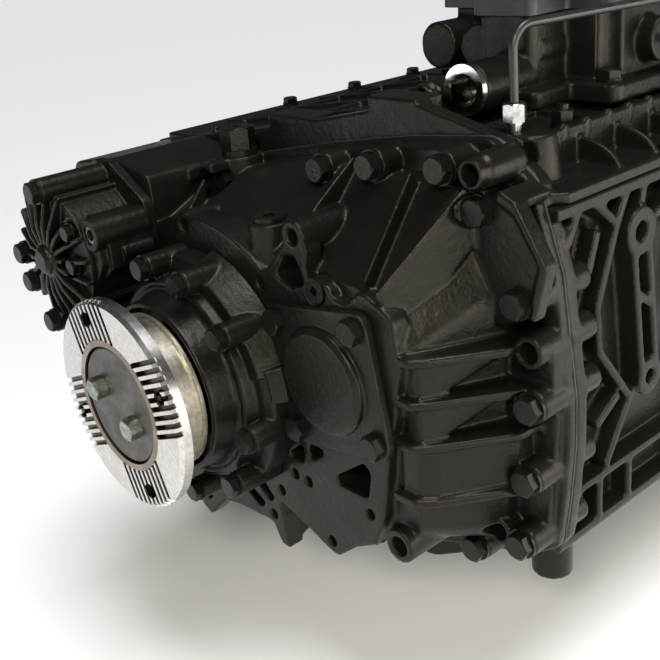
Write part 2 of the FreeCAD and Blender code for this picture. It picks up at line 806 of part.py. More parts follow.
def rear_holes():
    cuts = []
    for outline in windows:
        cuts.append(slab(outline, plate_y - 1, plate_y + 34))
    for x, z in plate_holes:
        cuts.append(cyl(plate_hole_r, plate_y - 1, plate_y + plate_hole_deep, x, z))
    for x, z, r, deep in ((216, -90, 8, 60), (127, 139, 6, 40), (-17, 124, 6, 30),
                          (level_plug_x, level_plug_z, level_plug_r, 14)):
        cuts.append(cyl(r, plate_y - 1, plate_y + deep, x, z))
    for x, z in cover_bolt_spots():
        cuts.append(bolt_hole("medium", V(x, plate_y - 1, z), Y_AXIS * -1, 16))
    for x, z in square_corners(square_cover_side):
        cuts.append(bolt_hole("cover", V(x, plate_y - 1, z), Y_AXIS * -1, 22))
    for x, z in rear_bolt_spots:
        cuts.append(bolt_hole("large", V(x, boss_face - 1, z), Y_AXIS * -1, 40))
        cuts.append(cyl(bolt_sizes["large"][2] + 1, boss_face - 26, boss_face, x, z))
    for x, z in dowel_spots:
        cuts.append(cyl(dowel_hole_r, boss_face - 12, joint_y + 1, x, z))
    cuts.append(Part.makeCylinder(9, 20, V(round_boss_x, round_boss_y, round_boss_top - 20 + 1), Z_AXIS))
    cuts.append(Part.makeCylinder(14, 40, V(round_boss_x, round_boss_y, round_boss_top), Z_AXIS))
    cuts.append(Part.makeCylinder(9, 12, V(tall_plug_x, tall_plug_y, tall_plug_seat - 11), Z_AXIS))
    for x, z, _ in range_bolt_seats():
        cuts.append(bolt_hole("medium", V(x, plate_y - 1, z), Y_AXIS * -1, 24))
    return cuts


def rear_bolts():
    return [bolt("large", V(x, boss_face, z), Y_AXIS * -1, 62) for x, z in rear_bolt_spots]


def joint_gasket():
    ring = slab(joint_outline, joint_y, joint_y + gasket_thick)
    inner = slab(gasket_inner_outline, joint_y - 1, joint_y + gasket_thick + 1)
    holes = [cyl(bolt_sizes["large"][4] + hole_gap, joint_y - 1, joint_y + 3, x, z)
             for x, z in rear_bolt_spots]
    holes += [cyl(dowel_hole_r, joint_y - 1, joint_y + 3, x, z) for x, z in dowel_spots]
    return ring.cut(inner).cut(Part.makeCompound(holes))


# Range shift cylinder
def range_bolt_seats():
    """Bolt centres across the cylinder, with the plane that each head sits on."""
    return [(-123, 157, range_end + 2), (-190, 88, range_end + 9), (-182, 62, range_end + 9),
            (-140, 34, range_end + 3)]


def range_cylinder():
    end = range_end + range_fin_deep
    parts = [
        cyl(range_body_r, end, plate_y, range_x, range_z),
        cyl(13, range_end - 3, end + 1, range_x, range_z),
        cone(9, 13, range_end - 6, range_end - 3, range_x, range_z),
    ]
    fin = box(range_x + 8, range_x + range_fin_r, range_end, plate_y - 8, range_z - 2, range_z + 2)
    slope = slab_z([(range_x, range_end), (range_x + 30, range_end),
                    (range_x + range_fin_r, range_end + 8, 3),
                    (range_x + range_fin_r, plate_y), (range_x, plate_y)], range_z - 3, range_z + 3)
    fin = fin.common(slope)
    for k in range(range_fin_count):
        parts.append(turned(fin, k * 360.0 / range_fin_count + 6, range_x, range_z))
    for x, z, seat in range_bolt_seats():
        parts.append(cyl(bolt_sizes["medium"][2], seat, plate_y, x, z))
    flange = [(-104, 30, 12), (-58, 74, 12), (-58, 140, 14), (-110, 170, 10), (-136, 170, 10),
              (-203, 100, 12), (-196, 50, 12), (-150, 22, 12)]
    parts.append(slab(flange, plate_y - 10, plate_y))
    return join(parts).cut(join(range_cylinder_neighbours())).cut(Part.makeCompound(range_cylinder_holes()))


def range_cylinder_neighbours():
    """The room that the output bearing cover and the valve block need."""
    shoulder = cyl(cover_shoulder_r + 2, 0, plate_y + 1).cut(range_clearance(-1, plate_y + 2, 0))
    bosses = [cyl(cover_boss_r + 1, cover_bolt_face - 12, plate_y + 1, x, z) for x, z in cover_bolt_spots()]
    valve_room = box(-104, -40, 20, plate_y - 10, 74, 142).cut(cyl(range_body_r, 0, 200, range_x, range_z))
    return [shoulder, valve_room] + bosses


def range_cylinder_holes():
    end = range_end + range_fin_deep
    cuts = [cyl(range_bore_r, end + 6, plate_y + 1, range_x, range_z)]
    for x, z, seat in range_bolt_seats():
        cuts.append(bolt_hole("medium", V(x, seat - 1, z), Y_AXIS * -1, 90))
        cuts.append(cyl(bolt_sizes["medium"][2] + 0.5, seat - 20, seat, x, z))
    for x, z in valve_bolt_spots:
        cuts.append(cyl(bolt_sizes["small"][2] + 1, range_end - 8, end, x, z))
    return cuts


def range_bolts():
    return [bolt("medium", V(x, seat, z), Y_AXIS * -1, plate_y - seat + 20)
            for x, z, seat in range_bolt_seats()]


def valve_block():
    back = plate_y - 10
    base = [(-102, 76, 6), (-102, 118, 8), (-86, 136, 8), (-54, 136, 12), (-54, 92, 10), (-72, 76, 8)]
    face = [(-100, 78, 6), (-100, 116, 6), (-86, 132, 8), (-60, 132, 10), (-58, 96, 10), (-74, 78, 8)]
    parts = [
        slab(base, valve_front + 8, back),
        slab(face, valve_front, valve_front + 12),
        cyl(valve_port_r + 6, valve_front - 3, back, valve_x, valve_z),
        cyl(valve_port_r, valve_front + 20, back, -58, 104),
    ]
    parts += [cyl(bolt_sizes["small"][2] + 0.5, valve_front - 6, valve_front + 12, x, z)
              for x, z in valve_bolt_spots]
    shape = join(parts).cut(cyl(range_body_r + run_gap, valve_front - 20, plate_y, range_x, range_z))
    cuts = [
        cyl(valve_port_r, valve_front - 5, valve_front + 22, valve_x, valve_z),
        cyl(cover_shoulder_r + 2, cover_bolt_face - 12, plate_y),
    ]
    cuts += [cyl(cover_boss_r + 3, cover_bolt_face - 12, plate_y, x, z) for x, z in cover_bolt_spots()]
    return shape.cut(Part.makeCompound(cuts))


def valve_bolts():
    return [bolt("small", V(x, valve_front - 6, z), Y_AXIS * -1, 2) for x, z in valve_bolt_spots]


def port_fitting():
    return tube(valve_port_r - run_gap, 5, valve_front - 1, valve_front + 16, valve_x, valve_z)


def range_piston():
    disc = cyl(range_bore_r - slide_gap, 58, 74, range_x, range_z)
    groove = tube(range_bore_r + 1, range_bore_r - 4, 64, 68, range_x, range_z)
    rod = cyl(range_rod_r, 56, 186, range_x, range_z)
    return disc.cut(groove).fuse(rod)


def range_fork():
    y0 = range_fork_y
    y1 = y0 + range_fork_thick
    inner = ring_outer_r + slide_gap
    arm = slab([(-150, 95, 14), (-128, 117, 14), (-84, 100), (-56, 96), (-104, 34), (-112, 60)], y0, y1)
    arm = arm.cut(cyl(inner, y0 - 1, y1 + 1))
    finger = tube(inner + 6, ring_outer_r - ring_groove_deep + slide_gap, y0, y1)
    finger = finger.common(slab([(0, 0), (-34, 130), (-180, 130), (-180, 10), (-130, 0)], y0, y1))
    hub = cyl(range_rod_r + 8, y0 - 4, y1 + 4, range_x, range_z)
    shape = join([arm, finger, hub]).cut(cyl(range_rod_r, y0 - 9, y1 + 9, range_x, range_z))
    return shape.cut(cyl(inner, y0 - 9, y0)).cut(cyl(inner, y1, y1 + 9))


# Range group
def ring_gear():
    phase = ((90.0 * (ring_teeth + sun_teeth) / 360.0) % 1.0) * 360.0 / ring_teeth
    inner = gear_wire(ring_teeth, planet_module, ring_front, phase, True)
    outer = Part.Wire([Part.Circle(V(0, ring_front, 0), Y_AXIS, ring_outer_r).toShape()])
    body = Part.Face(outer).extrude(V(0, ring_wide, 0)).cut(Part.Face(inner).extrude(V(0, ring_wide, 0)))
    groove = tube(ring_outer_r + 1, ring_outer_r - ring_groove_deep, range_fork_y - slide_gap,
                  range_fork_y + range_fork_thick + slide_gap)
    return body.cut(groove)


def planet_spot(index):
    return on_circle(carrier_r, 90.0 + index * 360.0 / planet_count)


def planet_gear(index):
    direction = 90.0 + index * 360.0 / planet_count
    phase = mate_phase(sun_teeth, 0.0, direction, planet_teeth)
    x, z = planet_spot(index)
    return gear(planet_teeth, planet_module, planet_front, planet_wide, phase, planet_pin_r + run_gap, x, z)


def output_shaft():
    front = planet_front - 2
    back = planet_front + planet_wide + 2
    parts = [cyl(output_shaft_r, flange_recess_deep, front - carrier_plate_thick + 1)]
    plate_r = carrier_r + planet_pin_r + 10
    parts.append(cyl(plate_r, front - carrier_plate_thick, front))
    parts.append(tube(plate_r, main_shaft_r + 2, back, back + carrier_plate_thick))
    for k in range(planet_count):
        x, z = on_circle(carrier_r + 6, 90.0 + (k + 0.5) * 360.0 / planet_count)
        parts.append(cyl(9, front - 2, back + 2, x, z))
    shape = join(parts)
    cuts = [cyl(planet_pin_r, front - carrier_plate_thick - 1, back + carrier_plate_thick + 1,
                *planet_spot(k)) for k in range(planet_count)]
    cuts += [bolt_hole("lock", p, Y_AXIS * -1, 32) for p in lock_bolt_points()]
    return shape.cut(Part.makeCompound(cuts))


def planet_pins():
    front = planet_front - 2 - carrier_plate_thick
    back = planet_front + planet_wide + 2 + carrier_plate_thick
    return [cyl(planet_pin_r, front, back, *planet_spot(k)) for k in range(planet_count)]


# Main line and countershaft
def main_phase(name):
    main_teeth, counter_teeth = train[name][:2]
    if name == "reverse":
        ix, iz = idler_spot()
        turn = math.degrees(math.atan2(counter_z - iz, counter_x - ix))
        idler = mate_phase(counter_teeth, 0.0, turn + 180, idler_teeth)
        back = math.degrees(math.atan2(-iz, -ix))
        return mate_phase(idler_teeth, idler, back, main_teeth)
    return mate_phase(counter_teeth, 0.0, counter_angle + 180, main_teeth)


def idler_spot():
    main_teeth, counter_teeth = train["reverse"][:2]
    to_main = gear_module * (main_teeth + idler_teeth) / 2
    to_counter = gear_module * (counter_teeth + idler_teeth) / 2
    across = to_main ** 2 + center_distance ** 2 - to_counter ** 2
    corner = math.acos(across / (2 * to_main * center_distance))
    return on_circle(to_main, counter_angle - math.degrees(corner))


def line_gear(name, bore_r):
    teeth, _, y0, wide = train[name]
    return gear(teeth, gear_module, y0, wide, main_phase(name), bore_r)


def countershaft():
    parts = [cyl(counter_shaft_r, plate_y + 4, main_end - 6, counter_x, counter_z)]
    for _, teeth, y0, wide in train.values():
        parts.append(gear(teeth, gear_module, y0, wide, 0.0, 0, counter_x, counter_z))
    return join(parts)


def reverse_idler():
    counter_teeth = train["reverse"][1]
    _, _, y0, wide = train["reverse"]
    ix, iz = idler_spot()
    turn = math.degrees(math.atan2(counter_z - iz, counter_x - ix))
    phase = mate_phase(counter_teeth, 0.0, turn + 180, idler_teeth)
    return gear(idler_teeth, gear_module, y0, wide, phase, 12 + run_gap, ix, iz)


def idler_pin():
    _, _, y0, wide = train["reverse"]
    return cyl(12, main_start + 10, y0 + wide + 4, *idler_spot())


def sleeve_hub(name):
    y = sleeve_planes[name]
    return cyl(sleeve_hub_r, y - 2, y + sleeve_wide + 2)


def main_shaft():
    end = train["high_split"][2] + train["high_split"][3] + 2
    sun = gear(sun_teeth, planet_module, planet_front, planet_wide, 0.0, 0)
    parts = [cyl(main_shaft_r, planet_front, end), sun, sleeve_hub("low"), sleeve_hub("high")]
    return join(parts)


def input_shaft():
    start = train["high_split"][2] + train["high_split"][3] + 4
    front = train["low_split"][2] + train["low_split"][3] + 8
    parts = [
        cyl(main_shaft_r, start, front), sleeve_hub("split"), cyl(main_shaft_r + 6, front - 6, front),
        cyl(input_shaft_r, front, input_end - 22), cyl(12.5, input_end - 22, input_end)]
    spline = [box(input_shaft_r - 3, input_shaft_r + 1.6, main_end + 150, bell_end - 12, -2, 2)]
    splines = [turned(spline[0], k * 36) for k in range(10)]
    return join(parts + splines)


def shift_sleeve(name):
    y = sleeve_planes[name]
    ring = tube(sleeve_r, sleeve_hub_r + run_gap, y, y + sleeve_wide)
    groove = tube(sleeve_r + 1, sleeve_r - 5, y + 5, y + sleeve_wide - 5)
    return ring.cut(groove)


def shift_fork(name):
    x, z = rail_spots[name]
    y = sleeve_planes[name]
    y0 = y + 5 + slide_gap
    y1 = y + sleeve_wide - 5 - slide_gap
    rail = cyl(rail_r, main_start + rear_wall - 14, main_end - front_wall + 12, x, z)
    hub = cyl(rail_r + 7, y - 4, y + sleeve_wide + 4, x, z)
    turn = math.degrees(math.atan2(z, x))
    arm = turned(box(sleeve_r + 4, math.hypot(x, z), y0, y1, -9, 9), turn)
    crescent = tube(sleeve_r + 12, sleeve_r - 5 + slide_gap, y0, y1)
    spread = []
    for offset in (-85, 0, 85):
        px, pz = on_circle(150, turn + offset)
        spread.append((px, pz))
    crescent = crescent.common(slab([(0, 0)] + spread, y0, y1))
    shape = join([rail, hub, arm, crescent])
    return shape


def main_inner_outline(inset):
    return [
        (284 - inset, -119 + inset * 0.4, 10), (286 - inset, 132, 8), (270 - inset, seam_z + 2),
        (-186 + inset, seam_z + 2),
        (-206 + inset, 110, 16), (-206 + inset, -40, 30), (-170 + inset, -132, 40),
        (-116, -186 + inset, 30), (146, -186 + inset, 30),
    ]


def threaded_bosses():
    spots = [(x, z) for x, z in rear_bolt_spots + dowel_spots if z < seam_z - 14]
    return [cyl(joint_boss_r - 1, main_start, main_start + 32, x, z) for x, z in spots]


def side_rib(a, b, x0, x1):
    """A straight rib on a side wall, from a to b, each given as (y, z)."""
    length = math.hypot(b[0] - a[0], b[1] - a[1])
    along = -(b[1] - a[1]) / length * truss_rib_thick / 2
    across = (b[0] - a[0]) / length * truss_rib_thick / 2
    corners = [(a[0] + along, a[1] + across), (b[0] + along, b[1] + across),
               (b[0] - along, b[1] - across), (a[0] - along, a[1] - across)]
    return slab_x(corners, x0, x1)


def side_strap(y, x0, x1):
    """The open strap of two rails and a crossing between two round eyes."""
    top, low = strap_heights
    below = y + strap_lean
    middle = (top + low) / 2
    parts = [side_rib((y + side, top), (below + side, low), x0, x1) for side in (-strap_half, strap_half)]
    parts.append(side_rib((y, middle + 12), (below, middle), x0, x1))
    for r, place, z in ((strap_eye_r, y, top), (strap_eye_r - 3, below, low)):
        parts.append(Part.makeCylinder(r, x1 - x0, V(x0, place, z), X_AXIS))
    return parts


def side_truss(x0, x1, outward):
    """The ribs of one side wall; outward is +1 on the right wall and -1 on the left."""
    parts = []
    for k in range(truss_bays):
        y0 = main_start + truss_start + k * truss_step
        for a, b in truss_ribs:
            parts.append(side_rib((y0 + a[0], a[1]), (y0 + b[0], b[1]), x0, x1))
        if k < truss_bays - 1:
            proud = outward * strap_proud
            parts += side_strap(y0 + strap_place, min(x0, x0 + proud), max(x1, x1 + proud))
        for dy in (truss_step * 0.3, truss_step * 0.62):
            parts.append(box(x0, x1, y0 + dy, y0 + dy + truss_rib_thick, main_rail_z - 42, main_rail_z))
    for z0, z1 in ((main_rail_z - 44, main_rail_z - 36), (main_rail_z - 3, main_rail_z + 4),
                   (seam_z - 9, seam_z)):
        parts.append(box(x0, x1, main_start, main_end, z0, z1))
    return parts


def strap_holes(x0, x1):
    """Hexagon pockets in the upper eyes and round ones in the lower eyes."""
    cuts = []
    for k in range(truss_bays - 1):
        y = main_start + truss_start + k * truss_step + strap_place
        socket = aim(hexagon(strap_socket, x1 - x0), V(x0, y, strap_heights[0]), X_AXIS)
        low_eye = V(x0, y + strap_lean, strap_heights[1])
        cuts += [socket, Part.makeCylinder(strap_socket * 0.4, x1 - x0, low_eye, X_AXIS)]
    return cuts


def main_housing():
    recess = side_recess
    core = [(x - recess if x > 200 else x, z, r) for x, z, r in main_outline]
    core = [(x + recess if x < -180 else x, z, r) for x, z, r in core]
    parts = [slab(core, main_start, main_end)]
    low_joint = slab(joint_outline, main_start,
                     main_start + 13).common(box(-300, 400, main_start, main_start + 13, -250, seam_z))
    parts.append(low_joint)
    front_flange = slab(main_outline, main_end - bell_lip, main_end)
    parts.append(front_flange)
    parts += threaded_bosses()
    parts += side_truss(truss_back, truss_face, 1)
    parts += side_truss(-truss_left_face, -truss_left_face + truss_face - truss_back, -1)
    parts.append(Part.makeCylinder(post_r, 60, V(post_x, main_start + 38, post_bottom), Z_AXIS))
    for y in (main_start + 120, main_start + 210, main_start + 300):
        parts.append(box(-150, 180, y, y + 9, -198, -170))
    parts.append(box(-20, 60, main_start + 90, main_start + 330, -200, -180))
    outer = join(parts)
    cavity = slab(main_inner_outline(side_recess + main_wall), main_start + rear_wall,
                  main_end - front_wall)
    sockets = strap_holes(truss_face - strap_socket_deep, truss_face + strap_proud + 1)
    cuts = Part.makeCompound(bell_bolt_pockets() + sockets)
    return outer.cut(cavity).cut(Part.makeCompound(main_bores())).cut(cuts)


def bell_bolt_pockets():
    seat = main_end - bell_lip
    return [cyl(bolt_sizes["large"][2] + 1, seat - 42, seat, x, z) for x, z in bell_bolt_spots()]


def main_bores():
    ix, iz = idler_spot()
    cuts = [
        cyl(main_bearing_r, main_start - 1, main_start + rear_wall + 1),
        cyl(counter_space_r - 18, main_start - 1, main_start + rear_wall + 1, counter_x, counter_z),
        cyl(main_bearing_r, main_end - front_wall - 1, main_end + 1),
        cyl(counter_bore_r, main_end - front_wall - 1, main_end - 4, counter_x, counter_z),
        cyl(12 + run_gap, main_start + 9, main_start + rear_wall + 1, ix, iz),
    ]
    for x, z in rail_spots.values():
        cuts.append(cyl(rail_r + run_gap, main_start + rear_wall - 26, main_end - front_wall + 22, x, z))
    for x, z in rear_bolt_spots:
        cuts.append(bolt_hole("large", V(x, main_start - 1, z), Y_AXIS * -1, 30))
    for x, z in dowel_spots:
        cuts.append(cyl(dowel_hole_r, main_start - 1, main_start + 20, x, z))
    for x, z in bell_bolt_spots():
        cuts.append(bolt_hole("large", V(x, main_end - bell_lip - 1, z), Y_AXIS * -1, 30))
    cuts += [bolt_hole("small", V(x, y, seam_z + 1), Z_AXIS, 16) for x, y in seam_bolt_spots()]
    cuts.append(Part.makeCylinder(11, 40, V(20, main_start + 200, -202), Z_AXIS))
    return cuts


def seam_bolt_spots():
    spots = []
    for k in range(3):
        y = arch_start + (2 * k + 1.5) * arch_step
        spots += [(276, y), (-179, y)]
    return spots


def seam_bolts():
    return [bolt("small", V(x, y, seam_z + seam_lip), Z_AXIS, 22) for x, y in seam_bolt_spots()]


def arch(y, x0, x1):
    """A web with a quarter-round outer edge between the upper housing's wall and its lower lip."""
    high = upper_top - 4 - seam_z
    points = [(x0, seam_z)]
    for k in range(arch_sides + 1):
        turn = math.radians(90.0 * k / arch_sides)
        points.append((x0 + (x1 - x0) * math.cos(turn), seam_z + high * math.sin(turn)))
    return slab(points, y, y + arch_thick)


def roof_line(lift, round_r):
    """The roof of the upper housing across the shafts: sloped on the left, then level."""
    return [(roof_left_x, roof_left_z + lift, round_r), (roof_break_x, upper_top + lift, 30),
            (arch_wall_x - 4, upper_top + lift)]


def roof_height(x):
    slope = (upper_top - roof_left_z) / (roof_break_x - roof_left_x)
    return min(upper_top, roof_left_z + (x - roof_left_x) * slope)


def top_ribs():
    """Low ribs that cross on the roof of the upper housing."""
    parts = []
    for k in range(6):
        y = main_start + 46 + k * 62
        outline = roof_line(top_rib_high, 3) + roof_line(-4, 0)[::-1]
        parts.append(slab(outline, y, y + arch_thick))
    for x in (-120, -20, 80, 180):
        level = roof_height(x)
        parts.append(box(x, x + arch_thick, main_start + 8, main_end - 6, level - 4, level + top_rib_high))
    top = upper_top + top_rib_high - 1
    parts.append(box(arch_wall_x - 8, arch_wall_x, main_start + 30, main_end - 6, upper_top - 4, top))
    for k in range(12):
        y = main_start + 70 + k * 28
        parts.append(Part.makeCylinder(3.5, top_rib_high + 8, V(arch_wall_x - 3, y, upper_top - 6), Z_AXIS))
    return parts


def upper_housing():
    flange = slab(top_flange_outline, main_start, main_start + 14)
    low = seam_z
    outline = [(-178, low, 2), (-166, roof_left_z - 3, 4)] + roof_line(0, 8)[:2]
    outline += [(arch_wall_x, upper_top, 4), (arch_wall_x, low)]
    body = slab(outline, main_start, main_end)
    lip = slab_z([(-186, main_start), (272, main_start), (286, main_start + 14, 4), (286, main_end),
                  (-186, main_end)],
                 low, low + seam_lip)
    joint = slab(joint_outline, main_start,
                 main_start + 13).common(box(-300, 400, 0, main_end, seam_z, 300))
    parts = [flange, joint, body, lip]
    parts.append(Part.makeCone(post_cone_r, post_cone_top_r, upper_top + 10 - seam_z,
                               V(cone_x, cone_y, seam_z), Z_AXIS))
    parts.append(box(fitting_x - 12, cone_x, fitting_y - 12, cone_y + 8, upper_top - 12, upper_top + 8))
    for x0, x1 in ((-20, 35), (108, 160)):
        z0 = 196 + (x0 - 35) * 0.19
        parts.append(box(x0, x1, main_start, main_start + 30, z0 - 20, z0 + 12))
    parts += top_ribs()
    parts += [arch(arch_start + k * arch_step, arch_wall_x - 4, 283) for k in range(arch_count)]
    outer = join(parts)
    room = [(-130, low - 1), (-130, low + 2), (roof_break_x, upper_top - 10), (222, upper_top - 10),
            (222, low - 1)]
    inside = slab(room, main_start + 50, main_end - 36)
    cuts = [inside]
    upper_bolts = [(x, z) for x, z in rear_bolt_spots if z > seam_z - 14]
    cuts += [bolt_hole("large", V(x, main_start - 1, z), Y_AXIS * -1, 30) for x, z in upper_bolts]
    cuts += [cyl(dowel_hole_r, main_start - 1, main_start + 20, x, z)
             for x, z in dowel_spots if z > seam_z - 14]
    cuts.append(Part.makeCylinder(fitting_stem_r, 30, V(fitting_x, fitting_y, upper_top - 10), Z_AXIS))
    cuts += [bolt_hole("medium", V(x, y, upper_top + top_rib_high + 1), Z_AXIS, 16)
             for x, y in unit_bolt_spots()]
    cuts.append(Part.makeCylinder(cap_screw_r, 20, V(cap_screw_x, cap_screw_y, upper_top - 12), Z_AXIS))
    for x, y in seam_bolt_spots():
        cuts.append(bolt_hole("small", V(x, y, seam_z + seam_lip + 1), Z_AXIS, 30))
        cuts.append(Part.makeCylinder(bolt_sizes["small"][2] + 0.5, 30, V(x, y, seam_z + seam_lip), Z_AXIS))
    return outer.cut(Part.makeCompound(cuts))


# Bearings as closed rings with their rolling elements' space filled by one ring each
def bearing(r_in, r_out, y0, wide, x=0.0, z=0.0):
    third = (r_out - r_in) / 3.0
    inner = tube(r_in + third, r_in + run_gap, y0, y0 + wide, x, z)
    outer = tube(r_out, r_out - third, y0, y0 + wide, x, z)
    rollers = []
    middle = (r_in + r_out) / 2.0
    count = int(2 * math.pi * middle / (third * 1.25))
    for k in range(count):
        px, pz = on_circle(middle, k * 360.0 / count, x, z)
        rollers.append(cyl(third / 2.0 - 0.02, y0 + 3, y0 + wide - 3, px, pz))
    return [inner, outer] + rollers


def shaft_bearings():
    front = main_end - front_wall + 2
    return (
        bearing(main_shaft_r, main_bearing_r, main_start + 4, main_bearing_wide)
        + bearing(input_shaft_r, main_bearing_r, front, main_bearing_wide)
        + bearing(counter_shaft_r, counter_bore_r, plate_y + 2, counter_bearing_wide - 2, counter_x,
                  counter_z)
        + bearing(counter_shaft_r, counter_bore_r, front, counter_bearing_wide, counter_x, counter_z)
    )


# Bell housing
def bell_bolt_spots():
    return [(278, 100), (276, -60), (262, -120), (150, -178), (30, -178), (-110, -178), (-188, -110),
            (-198, -20), (-198, 100)]


def bell_housing():
    y0 = main_end
    y1 = bell_end
    outer = revolve([(0, y0), (236, y0), (240, y0 + 30), (262, y1 - 50), (262, y1 - bell_flange_thick),
                     (bell_flange_r, y1 - bell_flange_thick), (bell_flange_r, y1), (0, y1)])
    back = slab([(x * 1.02, z, r) for x, z, r in main_outline], y0, y0 + 16)
    ears = [cyl(16, y0, y0 + 22, x, z) for x, z in bell_bolt_spots()]
    ribs = []
    for k in range(12):
        rib = slab_z([(200, y0 + 4), (238, y0 + 4), (272, y1 - bell_flange_thick),
                      (200, y1 - bell_flange_thick)], -4, 4)
        ribs.append(turned(rib, k * 30 + 15))
    seat = y0 + clutch_seat
    lug = slab([(clutch_x - 34, -24, 8), (clutch_x - 34, 24, 8), (-200, 54), (-200, -54)], seat, seat + 7)
    flange_bosses = [lug]
    for k in range(bell_bolt_count):
        x, z = on_circle(bell_bolt_pcd / 2, k * 30)
        flange_bosses.append(cyl(14, y1 - 34, y1, x, z).common(cyl(bell_flange_r, y1 - 40, y1)))
    inner = revolve([(0, y0 + bell_back_thick), (212, y0 + bell_back_thick), (226, y0 + 30),
                     (250, y1 - 50), (250, y1 - 8), (bell_pilot_r, y1 - 8), (bell_pilot_r, y1 + 1),
                     (0, y1 + 1)])
    shape = join([outer, back] + ears + ribs + flange_bosses).cut(inner)
    cuts = [cyl(66, y0 - 1, y0 + 20), cyl(clutch_rod_r + slide_gap, seat - 1, seat + 8, clutch_x, 0)]
    cuts += [bolt_hole("small", V(x, seat - 1, z), Y_AXIS * -1, 12) for x, z in clutch_bolt_spots()]
    for k in range(bell_bolt_count):
        x, z = on_circle(bell_bolt_pcd / 2, k * 30)
        cuts.append(cyl(bell_hole_r, y1 - 36, y1 + 1, x, z))
    cuts += [bolt_hole("large", V(x, y0 - 1, z), Y_AXIS * -1, 30) for x, z in bell_bolt_spots()]
    cuts.append(box(-300, -200, y0 + clutch_seat + 7, y0 + 130, -30, 30))
    cuts.append(box(-50, 50, y0 + 60, y0 + 130, -300, -200))
    return shape.cut(Part.makeCompound(cuts))


def bell_bolts():
    return [bolt("large", V(x, main_end - bell_lip, z), Y_AXIS * -1, 34) for x, z in bell_bolt_spots()]


def input_cover_spots():
    return [on_circle(77, k * 60 + 30) for k in range(6)]


def input_cover():
    y0 = main_end
    tube_end = y0 + guide_tube_length
    shape = revolve([
        (input_shaft_r + 2, y0), (66 - run_gap, y0), (66 - run_gap, y0 + 14), (88, y0 + 14),
        (88, y0 + 24), (66, y0 + 24), (44, y0 + 30),
        (guide_tube_r, y0 + 38), (guide_tube_r, tube_end), (input_shaft_r + 2, tube_end)])
    holes = [bolt_hole("small", V(x, y0 + 25, z), Y_AXIS, 30) for x, z in input_cover_spots()]
    return shape.cut(Part.makeCompound(holes))


def input_cover_bolts():
    return [bolt("small", V(x, main_end + 24, z), Y_AXIS, 10) for x, z in input_cover_spots()]


def release_bearing():
    y0 = main_end + release_bearing_start
    y1 = y0 + release_bearing_wide
    hub_r = guide_tube_r + 8
    collar = y0 - fork_thick - 2
    return revolve([
        (guide_tube_r + run_gap, collar - 6), (release_bearing_r - 2, collar - 6),
        (release_bearing_r - 2, collar),
        (hub_r, collar), (hub_r, y0), (release_bearing_r, y0), (release_bearing_r, y1 - 8),
        (release_bearing_r - 8, y1), (guide_tube_r + run_gap, y1)])


def fork_plane():
    """The plane through the fork's pivot and the middle of its two round noses."""
    return main_end + release_bearing_start - 1 - fork_thick / 2.0


def release_fork():
    y = fork_plane()
    half = fork_thick / 2.0
    lean = half - 3.5
    arm = slab_z([(clutch_x - 10, y - 8, 5), (clutch_x - 10, y + 8, 5), (fork_pivot_x, y + 12, 10),
                  (-60, y + half),
                  (-60, y - half), (fork_pivot_x, y - 12, 10)], -16, 16)
    parts = [arm, box(-76, -56, y - half, y + half, -fork_reach - 6, fork_reach + 6)]
    for z in (-fork_reach, fork_reach):
        parts.append(box(-60, 0, y - lean, y + lean, z - 6, z + 6))
        parts.append(Part.makeCylinder(half, 12, V(0, y, z - 6), Z_AXIS))
    pin_hole = Part.makeCylinder(pivot_pin_r + run_gap, 60, V(fork_pivot_x, y, -30), Z_AXIS)
    return join(parts).cut(cyl(guide_tube_r + 8 + 1, y - 30, y + 30)).cut(pin_hole)


def fork_pivot():
    y = fork_plane()
    back = main_end + bell_back_thick
    parts = [Part.makeCylinder(pivot_pin_r, 60, V(fork_pivot_x, y, -30), Z_AXIS)]
    parts.append(box(fork_pivot_x - 14, fork_pivot_x + 14, back, back + 6, -28, 28))
    for z in (-28, 18):
        parts.append(box(fork_pivot_x - 12, fork_pivot_x + 12, back, y + pivot_pin_r + 4, z, z + 10))
    return join(parts)


def clutch_cylinder():
    seat = main_end + clutch_seat
    front = seat - clutch_body_length
    parts = [
        cyl(clutch_r, front, seat, clutch_x, 0),
        cone(clutch_r - 12, clutch_r, front - 12, front, clutch_x, 0),
        slab(clutch_flange_outline(), seat - 8, seat),
        Part.makeCylinder(9, 16, V(clutch_x, front + 26, clutch_r - 4), Z_AXIS),
    ]
    cuts = [cyl(clutch_rod_r + slide_gap, seat - 90, seat + 1, clutch_x, 0)]
    for x, z in clutch_bolt_spots():
        cuts.append(bolt_hole("small", V(x, seat - 9, z), Y_AXIS * -1, 12))
        cuts.append(cyl(bolt_sizes["small"][2] + 0.5, seat - 30, seat - 8, x, z))
    return join(parts).cut(Part.makeCompound(cuts))


def clutch_flange_outline():
    return [(clutch_x - 34, -24, 8), (clutch_x - 34, 24, 8), (clutch_x + 34, 38, 8),
            (clutch_x + 34, -38, 8)]


def clutch_bolt_spots():
    return [(clutch_x + 26, -27), (clutch_x + 26, 27)]


def clutch_bolts():
    return [bolt("small", V(x, main_end + clutch_seat - 8, z), Y_AXIS * -1, 14)
            for x, z in clutch_bolt_spots()]


def clutch_rod():
    tip = fork_plane() - 8 - slide_gap
    rod = cyl(clutch_rod_r, main_end + clutch_seat - 70, tip - clutch_rod_r, clutch_x, 0)
    return rod.fuse(Part.makeSphere(clutch_rod_r, V(clutch_x, tip - clutch_rod_r, 0)))


# Control unit on top
def unit_bolt_spots():
    return [(44, 372), (44, 470), (44, 556), (212, 372), (212, 470), (212, 556)]


